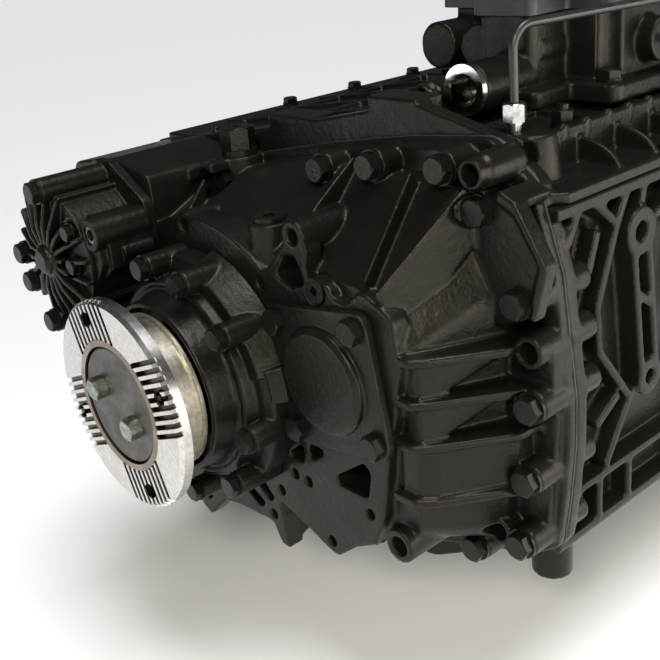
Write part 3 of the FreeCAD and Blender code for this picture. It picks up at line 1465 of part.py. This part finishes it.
def unit_outline(inset):
    """The unit's foot seen from above, drawn in by the inset."""
    return [(100 + inset, 350 + inset), (100 + inset, 304 + inset, 8), (190 - inset, 304 + inset, 8),
            (190 - inset, 350 + inset, 4), (232 - inset, 350 + inset, 10), (232 - inset, 572 - inset, 12),
            (24 + inset, 572 - inset, 12), (24 + inset, 350 + inset, 12)]


def unit_base():
    base = slab_z(unit_outline(0), unit_z, unit_z + 14)
    block = slab_z(unit_outline(18), unit_z + 14, unit_z + 70)
    ring_seat = cyl(unit_ring_r + 3, 268, 330, unit_ring_x, unit_z + unit_ring_z)
    stub = cyl(9, 244, 330, 124, unit_z + 18)
    stub_rim = cyl(11, 252, 258, 124, unit_z + 18)
    small_stub = cyl(6, 262, 330, 106, unit_z + 18)
    cylinders = [cyl(20, 334, 372, 62 + k * 46, unit_z + 42) for k in range(3)]
    side = Part.makeCylinder(18, 44, V(unit_side_x - 38, unit_side_y, unit_z + unit_side_z), X_AXIS)
    inlet = Part.makeCylinder(air_pipe_r + run_gap, 20,
                              V(unit_side_x - 12, unit_side_y, unit_z + unit_side_z), X_AXIS)
    shape = join([base, block, side, ring_seat, stub, stub_rim, small_stub] + cylinders)
    holes = [bolt_hole("medium", V(x, y, unit_z + 15), Z_AXIS, 30) for x, y in unit_bolt_spots()]
    heads = [Part.makeCylinder(bolt_sizes["medium"][2] + 1, 60, V(x, y, unit_z + 14), Z_AXIS)
             for x, y in unit_bolt_spots()]
    ring_hole = cyl(unit_ring_r, 260, 284, unit_ring_x, unit_z + unit_ring_z)
    stub_hole = cyl(5, 240, 262, 124, unit_z + 18)
    return shape.cut(Part.makeCompound(holes + [ring_hole, inlet, stub_hole])).cut(Part.makeCompound(heads))


def unit_cover():
    z0 = unit_z + 70
    lower = slab_z(unit_outline(14), z0, z0 + 22)
    upper = slab_z([(44, 372, 14), (212, 372, 14), (212, 552, 14), (44, 552, 14)], z0 + 22, z0 + 34)
    ribs = [box(52, 204, 386 + k * 34, 392 + k * 34, z0 + 34, z0 + 38) for k in range(5)]
    return join([lower, upper] + ribs)


def unit_ring():
    z = unit_z + unit_ring_z
    bore = unit_ring_r - 4
    sleeve = tube(unit_ring_r - run_gap, bore, 262, 283, unit_ring_x, z)
    return sleeve.fuse(tube(unit_ring_r + 3, bore, 262, 267, unit_ring_x, z))


def unit_bolts():
    return [bolt("medium", V(x, y, unit_z + 14), Z_AXIS, 26) for x, y in unit_bolt_spots()]


def cap_screw():
    """The stud with a hexagon nut that stands on the upper housing beside the control unit."""
    base = upper_top
    nut = hexagon(16, 9)
    nut.translate(V(0, 0, 4))
    parts = [Part.makeCylinder(9, 4), nut, Part.makeCylinder(cap_screw_r, 17)]
    parts.append(Part.makeCylinder(cap_screw_r - run_gap, 11, V(0, 0, -11)))
    return aim(join(parts), V(cap_screw_x, cap_screw_y, base), Z_AXIS)


def air_fitting():
    z0 = upper_top + 10
    bore = air_pipe_r + run_gap
    nut = hexagon(fitting_flats, 13)
    nut.translate(V(0, 0, 7))
    neck = Part.makeCylinder(fitting_stem_r + 1, 7.5)
    collar = Part.makeCylinder(fitting_flats * 0.42, 2, V(0, 0, 5.2))
    stem = Part.makeCylinder(fitting_stem_r - run_gap, 14, V(0, 0, -14))
    shape = join([nut, neck, collar, stem]).cut(Part.makeCylinder(bore, 20, V(0, 0, 6)))
    shape = shape.cut(Part.makeCylinder(2, 40, V(0, 0, -20)))
    return aim(shape, V(fitting_x, fitting_y, z0), Z_AXIS)


def bent_route(points, bend):
    """Straight runs with a round bend at each inner point."""
    edges = []
    last = points[0]
    for before, here, after in zip(points, points[1:], points[2:]):
        back = (before - here).normalize()
        on = (after - here).normalize()
        half = back.getAngle(on) / 2.0
        reach = bend / math.tan(half)
        middle = here + (back + on).normalize() * (bend / math.sin(half) - bend)
        edges.append(Part.LineSegment(last, here + back * reach).toShape())
        edges.append(Part.Arc(here + back * reach, middle, here + on * reach).toShape())
        last = here + on * reach
    edges.append(Part.LineSegment(last, points[-1]).toShape())
    return Part.Wire(edges)


def air_pipe():
    top = upper_top + 82
    height = unit_z + unit_side_z
    start = V(fitting_x, fitting_y, upper_top + 17)
    run_x = unit_side_x + 32
    points = [start, V(fitting_x, fitting_y, top), V(run_x, unit_side_y, top),
              V(run_x, unit_side_y, height),
              V(unit_side_x - 8, unit_side_y, height)]
    section = Part.Wire([Part.Circle(start, Z_AXIS, air_pipe_r).toShape()])
    return bent_route(points, air_pipe_bend).makePipeShell([section], True, False)


def tall_plug():
    base = Part.makeCylinder(16, 5).fuse(Part.makeCylinder(9 - run_gap, 10, V(0, 0, -10)))
    head = hexagon(27, 19)
    head.translate(V(0, 0, 5))
    dimple = Part.makeCylinder(3, 3, V(0, 0, 21.5))
    return aim(base.fuse(head).cut(dimple), V(tall_plug_x, tall_plug_y, tall_plug_seat), Z_AXIS)


def level_plug():
    return socket_plug(level_plug_r - run_gap, level_plug_r, 1.0, 12,
                       V(level_plug_x, plate_y, level_plug_z), Y_AXIS * -1)


def detent_plug():
    return socket_plug(9 - run_gap, 13, 4, 16, V(round_boss_x, round_boss_y, round_boss_top), Z_AXIS)


def drain_plug():
    base = Part.makeCylinder(15, 4).fuse(Part.makeCylinder(11 - run_gap, 16, V(0, 0, -16)))
    head = hexagon(24, 10)
    head.translate(V(0, 0, 4))
    return aim(base.fuse(head), V(20, main_start + 200, -200), Z_AXIS * -1)


# One file for each node
def main():
    os.makedirs("parts", exist_ok=True)
    nodes = {
        "output_flange": output_flange(),
        "flange_lock_plate": lock_plate(),
        "flange_lock_bolts": lock_bolts(),
        "dust_shield": dust_shield(),
        "output_seal": output_seal(),
        "output_cover": output_cover(),
        "rear_cover_bolts": cover_bolts() + square_cover_bolts(),
        "output_shaft": output_shaft(),
        "planet_pins": planet_pins(),
        "output_bearing": bearing(output_shaft_r, output_bearing_r, bearing_front, output_bearing_wide),
        "ring_gear": ring_gear(),
        "range_fork": range_fork(),
        "range_piston": range_piston(),
        "range_cylinder": range_cylinder(),
        "range_cylinder_bolts": range_bolts() + valve_bolts(),
        "range_valve_block": valve_block(),
        "valve_port_fitting": port_fitting(),
        "rear_housing": rear_housing(),
        "countershaft_cover": square_cover(),
        "housing_bolts": rear_bolts() + bell_bolts() + seam_bolts() + clutch_bolts(),
        "rear_joint_gasket": joint_gasket(),
        "socket_plugs": [level_plug(), detent_plug()],
        "hexagon_plugs": [tall_plug(), drain_plug(), cap_screw()],
        "main_housing": main_housing(),
        "upper_housing": upper_housing(),
        "bell_housing": bell_housing(),
        "main_shaft": main_shaft(),
        "input_shaft": input_shaft(),
        "countershaft": countershaft(),
        "reverse_idler_gear": reverse_idler(),
        "reverse_idler_pin": idler_pin(),
        "reverse_gear": line_gear("reverse", main_shaft_r + run_gap),
        "first_gear": line_gear("first", main_shaft_r + run_gap),
        "second_gear": line_gear("second", main_shaft_r + run_gap),
        "high_split_gear": line_gear("high_split", main_shaft_r + run_gap),
        "low_split_gear": line_gear("low_split", main_shaft_r),
        "shaft_bearings": shaft_bearings(),
        "input_cover": input_cover(),
        "input_cover_bolts": input_cover_bolts(),
        "release_bearing": release_bearing(),
        "release_fork": release_fork(),
        "release_fork_pivot": fork_pivot(),
        "clutch_cylinder": clutch_cylinder(),
        "clutch_push_rod": clutch_rod(),
        "control_unit_base": unit_base(),
        "control_unit_cover": unit_cover(),
        "control_unit_ring": unit_ring(),
        "control_unit_bolts": unit_bolts(),
        "air_fitting": air_fitting(),
        "air_pipe": air_pipe(),
    }
    for name in ("low", "high", "split"):
        nodes["shift_sleeve_" + name] = shift_sleeve(name)
        nodes["shift_fork_" + name] = shift_fork(name)
    for k in range(planet_count):
        nodes["planet_gear_%d" % (k + 1)] = planet_gear(k)
    print(len(nodes), "nodes")
    for name, shape in nodes.items():
        if isinstance(shape, list):
            shape = Part.makeCompound(shape)
        if not shape.isValid():
            print("not valid:", name)
        if len(shape.Solids) < 1:
            print("no solid:", name)
        shape.exportStep("parts/" + name + ".step")


main()
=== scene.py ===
import bpy
import json
import math
from mathutils import Matrix, Vector


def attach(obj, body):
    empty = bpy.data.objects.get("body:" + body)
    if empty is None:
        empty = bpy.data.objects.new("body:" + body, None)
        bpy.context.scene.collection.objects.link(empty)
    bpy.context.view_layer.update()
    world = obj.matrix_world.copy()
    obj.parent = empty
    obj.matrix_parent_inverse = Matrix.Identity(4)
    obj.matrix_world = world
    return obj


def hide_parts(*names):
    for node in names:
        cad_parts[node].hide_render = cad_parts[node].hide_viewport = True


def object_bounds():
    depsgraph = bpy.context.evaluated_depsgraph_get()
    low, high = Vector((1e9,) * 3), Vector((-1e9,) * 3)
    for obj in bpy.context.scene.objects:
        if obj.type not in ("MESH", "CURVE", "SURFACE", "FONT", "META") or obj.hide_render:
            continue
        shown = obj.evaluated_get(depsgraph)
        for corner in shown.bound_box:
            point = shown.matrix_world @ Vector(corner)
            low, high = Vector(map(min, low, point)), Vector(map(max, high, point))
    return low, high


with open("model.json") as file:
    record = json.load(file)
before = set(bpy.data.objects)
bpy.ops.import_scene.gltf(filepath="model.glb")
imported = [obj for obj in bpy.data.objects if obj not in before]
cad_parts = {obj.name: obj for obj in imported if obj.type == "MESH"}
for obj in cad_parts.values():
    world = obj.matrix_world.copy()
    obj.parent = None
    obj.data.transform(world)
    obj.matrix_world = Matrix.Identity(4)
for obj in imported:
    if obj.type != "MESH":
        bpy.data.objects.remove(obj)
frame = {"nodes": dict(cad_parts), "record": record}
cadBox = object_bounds()
nodes = frame["nodes"]
print("frame loaded,", len(nodes), "nodes")

# Camera at the photograph's place, seen from behind and above the right side
viewpoint = {"place": (0.679, -0.332, 0.356), "azimuth": 50.32, "elevation": 22.71, "roll": -5.64,
             "lens": 54.545, "sensor": 36.0, "nearest": 0.01}


def makeCamera():
    az, el, roll = (math.radians(viewpoint[k]) for k in ("azimuth", "elevation", "roll"))
    back = Vector((math.sin(az) * math.cos(el), -math.cos(az) * math.cos(el), math.sin(el)))
    right = (-back).cross(Vector((0, 0, 1))).normalized()
    up = right.cross(-back)
    tiltedRight = math.cos(roll) * right + math.sin(roll) * up
    tiltedUp = -math.sin(roll) * right + math.cos(roll) * up
    turn = Matrix((tiltedRight, tiltedUp, back)).transposed().to_4x4()
    lens = bpy.data.cameras.new("camera")
    lens.lens = viewpoint["lens"]
    lens.sensor_width = viewpoint["sensor"]
    lens.clip_start = viewpoint["nearest"]
    camera = bpy.data.objects.new("camera", lens)
    camera.matrix_world = Matrix.Translation(Vector(viewpoint["place"])) @ turn
    bpy.context.scene.collection.objects.link(camera)
    bpy.context.scene.camera = camera


# Studio: pale floor, a soft sun, broad lamps and a dim even surround
studio = {"floorDrop": 0.004, "floorReach": 14, "floorShade": (0.86, 0.86, 0.86), "floorRough": 0.9,
          "surround": (0.93, 0.96, 1.0), "surroundLight": 0.06,
          "sunLight": 2.9, "sunSpread": 34, "sunColour": (0.96, 0.97, 1.0), "sunFrom": (0.35, 0.05, 1.5),
          "aim": (0.1, 0.15, 0.05)}
lamps = {
    "key": {"place": (1.2, -1.3, 1.25), "size": (0.6, 0.5), "power": 34, "colour": (1.0, 0.95, 0.84)},
    "right": {"place": (1.45, 0.75, 0.14), "size": (1.4, 0.75), "power": 17, "colour": (1.0, 0.97, 0.91)},
    "side": {"place": (1.9, -0.5, 0.1), "size": (0.5, 0.5), "power": 9, "colour": (1.0, 0.97, 0.9)},
    "low": {"place": (-1.0, -1.3, -0.05), "size": (0.8, 0.4), "power": 3, "colour": (1.0, 1.0, 1.0)},
}


def placeLamp(data, place, aim):
    lamp = bpy.data.objects.new(data.name, data)
    lamp.location = place
    lamp.rotation_euler = (Vector(aim) - Vector(place)).to_track_quat("-Z", "Y").to_euler()
    bpy.context.scene.collection.objects.link(lamp)


def makeFloor():
    low = cadBox[0][2] - studio["floorDrop"]
    far = studio["floorReach"]
    mesh = bpy.data.meshes.new("floor")
    corners = [(-far, -far, low), (far, -far, low), (far, far, low), (-far, far, low)]
    mesh.from_pydata(corners, [], [(0, 1, 2, 3)])
    floor = bpy.data.objects.new("floor", mesh)
    bpy.context.scene.collection.objects.link(floor)
    paint = bpy.data.materials.new("floorPaint")
    paint.use_nodes = True
    shader = paint.node_tree.nodes["Principled BSDF"]
    shader.inputs["Base Color"].default_value = (*studio["floorShade"], 1)
    shader.inputs["Roughness"].default_value = studio["floorRough"]
    mesh.materials.append(paint)


def makeLights():
    world = bpy.data.worlds.new("surround")
    bpy.context.scene.world = world
    world.use_nodes = True
    sky = world.node_tree.nodes["Background"].inputs
    sky["Color"].default_value = (*studio["surround"], 1)
    sky["Strength"].default_value = studio["surroundLight"]
    sun = bpy.data.lights.new("sun", "SUN")
    sun.energy = studio["sunLight"]
    sun.angle = math.radians(studio["sunSpread"])
    sun.color = studio["sunColour"]
    placeLamp(sun, studio["sunFrom"], (0, 0, 0))
    for name, lamp in lamps.items():
        data = bpy.data.lights.new(name, "AREA")
        data.shape = "RECTANGLE"
        data.size, data.size_y = lamp["size"]
        data.energy = lamp["power"]
        data.color = lamp["colour"]
        placeLamp(data, lamp["place"], studio["aim"])
    bpy.context.scene.view_settings.view_transform = "Standard"


# Finishes: one dictionary for each material slot of the record
finishes = {
    "housing_black": {"kind": "paint", "dark": (0.0038, 0.0036, 0.003), "light": (0.0085, 0.0079, 0.0063),
                      "rough": 0.30, "grain": 0.00016, "grainScale": 950, "peel": 0.0005, "peelScale": 160},
    "bolt_black": {"kind": "paint", "dark": (0.0036, 0.0035, 0.0031), "light": (0.0078, 0.0074, 0.0064),
                   "rough": 0.27, "grain": 0.00008, "grainScale": 1500, "peel": 0.0002, "peelScale": 300},
    "flange_steel": {"kind": "metal", "dark": (0.50, 0.485, 0.46), "light": (0.72, 0.715, 0.70),
                     "stain": (0.45, 0.36, 0.26), "stainScale": 18, "stainAmount": 0.3,
                     "rough": 0.25, "rings": 1400, "groove": 0.00003,
                     # flange: patchy brown ring round the lock plate, and flat dark brown on surfaces set
                     # back behind the face
                     "ringAndDepthTone": {"colour": (0.045, 0.034, 0.024), "deepFrom": 0.0010, "edge": 0.0872,
                               "fade": 0.0012, "band": 0.0572, "bandFade": 0.0008,
                               "bandColour": (0.21, 0.165, 0.125)}},
    "shield_zinc": {"kind": "metal", "dark": (0.34, 0.315, 0.25), "light": (0.6, 0.56, 0.46),
                    "stain": (0.2, 0.165, 0.11), "stainScale": 40, "stainAmount": 0.5,
                    "rough": 0.38, "rings": 300, "groove": 0.00002},
    "lock_grey": {"kind": "metal", "dark": (0.07, 0.069, 0.066), "light": (0.15, 0.147, 0.14),
                  "stain": (0.085, 0.068, 0.05), "stainScale": 60, "stainAmount": 0.5,
                  "rough": 0.44, "rings": 900, "groove": 0.00003},
    "bolt_zinc": {"kind": "metal", "dark": (0.15, 0.155, 0.135), "light": (0.33, 0.34, 0.30),
                  "stain": (0.46, 0.62, 0.48), "stainScale": 210, "stainAmount": 0.75,
                  "rough": 0.33, "rings": 0, "groove": 0.00002},
    "gear_steel": {"kind": "metal", "dark": (0.26, 0.255, 0.25), "light": (0.46, 0.455, 0.45),
                   "stain": (0.24, 0.19, 0.13), "stainScale": 30, "stainAmount": 0.25,
                   "rough": 0.27, "rings": 0, "groove": 0.00002},
    "bearing_steel": {"kind": "metal", "dark": (0.38, 0.38, 0.385), "light": (0.6, 0.6, 0.61),
                      "stain": (0.4, 0.36, 0.3), "stainScale": 30, "stainAmount": 0.15,
                      "rough": 0.2, "rings": 1200, "groove": 0.00001},
    "ring_chrome": {"kind": "metal", "dark": (0.6, 0.6, 0.61), "light": (0.8, 0.8, 0.81),
                    "stain": (0.5, 0.5, 0.5), "stainScale": 50, "stainAmount": 0.1,
                    "rough": 0.08, "rings": 0, "groove": 0.00001},
    "fitting_silver": {"kind": "metal", "dark": (0.19, 0.195, 0.19), "light": (0.38, 0.385, 0.375),
                       "stain": (0.2, 0.18, 0.14), "stainScale": 90, "stainAmount": 0.3,
                       "rough": 0.26, "rings": 0, "groove": 0.00002},
    "seal_rubber": {"kind": "soft", "dark": (0.012, 0.011, 0.01), "light": (0.03, 0.028, 0.025),
                    "rough": 0.55, "grainScale": 900, "grain": 0.0001},
    "gasket_grey": {"kind": "soft", "dark": (0.02, 0.02, 0.02), "light": (0.06, 0.06, 0.058),
                    "rough": 0.8, "grainScale": 1800, "grain": 0.0002},
    "unit_plastic": {"kind": "soft", "dark": (0.010, 0.010, 0.011), "light": (0.018, 0.018, 0.019),
                     "rough": 0.42, "grainScale": 2600, "grain": 0.0001},
    "pipe_black": {"kind": "soft", "dark": (0.008, 0.008, 0.009), "light": (0.016, 0.016, 0.017),
                   "rough": 0.35, "grainScale": 1200, "grain": 0.00005},
}
made = {}


def addNode(tree, kind, inputs=None, **settings):
    node = tree.nodes.new(kind)
    for key, value in settings.items():
        setattr(node, key, value)
    for key, value in (inputs or {}).items():
        if isinstance(value, bpy.types.NodeSocket):
            tree.links.new(value, node.inputs[key])
        else:
            node.inputs[key].default_value = value
    return node


def noise(tree, where, scale, detail=4.0, rough=0.55):
    inputs = {"Vector": where, "Scale": scale, "Detail": detail, "Roughness": rough}
    return addNode(tree, "ShaderNodeTexNoise", inputs).outputs["Fac"]


def span(tree, value, low, high, start=0.3, end=0.7):
    inputs = {"Value": value, "From Min": start, "From Max": end, "To Min": low, "To Max": high}
    return addNode(tree, "ShaderNodeMapRange", inputs).outputs["Result"]


def blendIn(tree, value, start, end):
    return span(tree, value, 0.0, 1.0, start, end)


def product(tree, first, second):
    return addNode(tree, "ShaderNodeMath", {0: first, 1: second}, operation="MULTIPLY").outputs[0]


def blendColours(tree, factor, first, second):
    mix = addNode(tree, "ShaderNodeMix", data_type="RGBA")
    tree.links.new(factor, mix.inputs["Factor"])
    for socket, value in ((mix.inputs[6], first), (mix.inputs[7], second)):
        if isinstance(value, bpy.types.NodeSocket):
            tree.links.new(value, socket)
        else:
            socket.default_value = (*value, 1)
    return mix.outputs[2]


def bump(tree, height, distance, normal=None):
    inputs = {"Height": height, "Distance": distance, "Strength": 1.0}
    if normal:
        inputs["Normal"] = normal
    return addNode(tree, "ShaderNodeBump", inputs).outputs["Normal"]


# Paint: cloudy tone, dust settled on what faces up, uneven gloss and a cast grain
paintWear = {"cloudScale": 11.0, "dustScale": 60.0, "dustFrom": 0.3, "dustAmount": 0.35,
             "dustColour": (0.011, 0.0105, 0.0085), "glossScale": 35.0, "shinier": 0.05, "duller": 0.09,
             "shine": 0.2, "shineTint": (1.0, 0.94, 0.78)}


def paintFinish(material, look):
    tree = material.node_tree
    shader = tree.nodes["Principled BSDF"]
    where = addNode(tree, "ShaderNodeTexCoord").outputs["Object"]
    clouds = noise(tree, where, paintWear["cloudScale"], detail=5.0)
    colour = blendColours(tree, span(tree, clouds, 0.0, 1.0), look["dark"], look["light"])
    dust = noise(tree, where, paintWear["dustScale"], detail=6.0, rough=0.7)
    facing = addNode(tree, "ShaderNodeNewGeometry").outputs["Normal"]
    up = addNode(tree, "ShaderNodeSeparateXYZ", {"Vector": facing}).outputs["Z"]
    onTop = product(tree, blendIn(tree, up, paintWear["dustFrom"], 1.0),
                    span(tree, dust, 0.0, paintWear["dustAmount"]))
    colour = blendColours(tree, onTop, colour, paintWear["dustColour"])
    tree.links.new(colour, shader.inputs["Base Color"])
    gloss = noise(tree, where, paintWear["glossScale"], detail=3.0)
    rough = span(tree, gloss, look["rough"] - paintWear["shinier"], look["rough"] + paintWear["duller"])
    tree.links.new(rough, shader.inputs["Roughness"])
    peel = bump(tree, noise(tree, where, look["peelScale"], detail=2.0), look["peel"])
    grain = bump(tree, noise(tree, where, look["grainScale"], detail=3.0, rough=0.6), look["grain"], peel)
    tree.links.new(grain, shader.inputs["Normal"])
    shader.inputs["Specular IOR Level"].default_value = paintWear["shine"]
    shader.inputs["Specular Tint"].default_value = (*paintWear["shineTint"], 1)


# Metal: fine turned surface with stains; the flange also gets a patchy brown ring round its lock plate and
# a flat dark brown tone on every surface set back behind its face, the tooth gaps among them
metalWear = {"fineScale": 240.0, "stainFrom": 0.5, "stainTo": 0.68, "shinier": 0.06, "duller": 0.16}


def addRingAndDepthTone(tree, colour, ringAndDepthTone, radius, depth, patches):
    # patchy brown ring on the flange inside the band radius
    nearPlate = blendIn(tree, radius, ringAndDepthTone["band"] + ringAndDepthTone["bandFade"], ringAndDepthTone["band"])
    band = product(tree, nearPlate, blendIn(tree, patches, 0.2, 0.5))
    colour = blendColours(tree, band, colour, ringAndDepthTone["bandColour"])
    # flange surfaces more than deepFrom behind the face and inside the rim turn a flat dark brown
    inside = blendIn(tree, radius, ringAndDepthTone["edge"] + ringAndDepthTone["fade"], ringAndDepthTone["edge"])
    deep = blendIn(tree, depth, ringAndDepthTone["deepFrom"], ringAndDepthTone["deepFrom"] + ringAndDepthTone["fade"])
    return blendColours(tree, product(tree, inside, deep), colour, ringAndDepthTone["colour"])


def metalFinish(material, look):
    tree = material.node_tree
    shader = tree.nodes["Principled BSDF"]
    where = addNode(tree, "ShaderNodeTexCoord").outputs["Object"]
    parts = addNode(tree, "ShaderNodeSeparateXYZ", {"Vector": where}).outputs
    flat = addNode(tree, "ShaderNodeCombineXYZ", {"X": parts["X"], "Y": parts["Z"]}).outputs[0]
    radius = addNode(tree, "ShaderNodeVectorMath", {0: flat}, operation="LENGTH").outputs["Value"]
    fine = noise(tree, where, metalWear["fineScale"], detail=5.0, rough=0.65)
    colour = blendColours(tree, blendIn(tree, fine, 0.3, 0.7), look["dark"], look["light"])
    patches = noise(tree, where, look["stainScale"], detail=7.0, rough=0.62)
    stained = span(tree, patches, 0.0, look["stainAmount"], metalWear["stainFrom"], metalWear["stainTo"])
    colour = blendColours(tree, stained, colour, look["stain"])
    if "ringAndDepthTone" in look:
        colour = addRingAndDepthTone(tree, colour, look["ringAndDepthTone"], radius, parts["Y"], patches)
    tree.links.new(colour, shader.inputs["Base Color"])
    rough = span(tree, patches, look["rough"] - metalWear["shinier"], look["rough"] + metalWear["duller"])
    tree.links.new(rough, shader.inputs["Roughness"])
    shader.inputs["Metallic"].default_value = 1.0
    height = fine
    if look["rings"]:
        along = addNode(tree, "ShaderNodeCombineXYZ", {"X": radius, "Y": parts["Y"]}).outputs[0]
        height = noise(tree, along, look["rings"], detail=2.0, rough=0.6)
    tree.links.new(bump(tree, height, look["groove"]), shader.inputs["Normal"])


# Rubber, gasket, plastic and pipe: a matt tone with a fine grain
softWear = {"cloudScale": 25.0, "glossScale": 60.0, "shinier": 0.06, "duller": 0.1}


def softFinish(material, look):
    tree = material.node_tree
    shader = tree.nodes["Principled BSDF"]
    where = addNode(tree, "ShaderNodeTexCoord").outputs["Object"]
    clouds = noise(tree, where, softWear["cloudScale"], detail=5.0)
    colour = blendColours(tree, span(tree, clouds, 0.0, 1.0), look["dark"], look["light"])
    tree.links.new(colour, shader.inputs["Base Color"])
    gloss = noise(tree, where, softWear["glossScale"])
    rough = span(tree, gloss, look["rough"] - softWear["shinier"], look["rough"] + softWear["duller"])
    tree.links.new(rough, shader.inputs["Roughness"])
    grain = noise(tree, where, look["grainScale"])
    tree.links.new(bump(tree, grain, look["grain"]), shader.inputs["Normal"])


def makeFinishes():
    makers = {"paint": paintFinish, "metal": metalFinish, "soft": softFinish}
    for slot, look in finishes.items():
        material = bpy.data.materials.new(slot)
        material.use_nodes = True
        makers[look["kind"]](material, look)
        made[slot] = material
    for row in frame["record"]["subparts"]:
        mesh = nodes[row["node"]].data
        mesh.materials.clear()
        mesh.materials.append(made[row["material_slot"]])


# Castings: the CAD shape gets the rounded edges and blended corners of a sand casting.
# grid is the mesh size in metres, rounds how far the edges soften, share the faces kept.
castings = {
    "rear_housing": {"grid": 0.0012, "rounds": 13, "share": 0.3},
    "output_cover": {"grid": 0.0009, "rounds": 12, "share": 0.3},
    "countershaft_cover": {"grid": 0.0008, "rounds": 6, "share": 0.3},
    "range_cylinder": {"grid": 0.0009, "rounds": 5, "share": 0.3},
    "range_valve_block": {"grid": 0.0007, "rounds": 6, "share": 0.3},
    "main_housing": {"grid": 0.0016, "rounds": 8, "share": 0.3},
    "upper_housing": {"grid": 0.0014, "rounds": 8, "share": 0.3},
    "bell_housing": {"grid": 0.0025, "rounds": 4, "share": 0.3},
    "control_unit_base": {"grid": 0.0014, "rounds": 6, "share": 0.3},
}
castSurface = {"slot": "housing_black", "softness": 0.5}


def applyModifiers(thing):
    mesh = bpy.data.meshes.new_from_object(thing.evaluated_get(bpy.context.evaluated_depsgraph_get()))
    thing.modifiers.clear()
    thing.data = mesh


def castCopy(node, look):
    piece = bpy.data.objects.new(node + "_casting", nodes[node].data.copy())
    bpy.context.scene.collection.objects.link(piece)
    mould = piece.modifiers.new("mould", "REMESH")
    mould.mode = "VOXEL"
    mould.voxel_size = look["grid"]
    soften = piece.modifiers.new("soften", "SMOOTH")
    soften.factor = castSurface["softness"]
    soften.iterations = look["rounds"]
    thin = piece.modifiers.new("thin", "DECIMATE")
    thin.ratio = look["share"]
    applyModifiers(piece)
    for face in piece.data.polygons:
        face.use_smooth = True
    return piece


def makeCastings():
    body = {row: name for name, rows in frame["record"]["behaviour"]["bodies"].items() for row in rows}
    for node, look in castings.items():
        piece = castCopy(node, look)
        piece.data.materials.clear()
        piece.data.materials.append(made[castSurface["slot"]])
        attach(piece, body[node])
        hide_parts(node)
        print(node, "cast,", len(piece.data.polygons), "faces")


makeCamera()
makeFloor()
makeLights()
print("camera and studio made")
makeFinishes()
print("finishes made:", len(made))
makeCastings()
print("castings made:", len(castings))
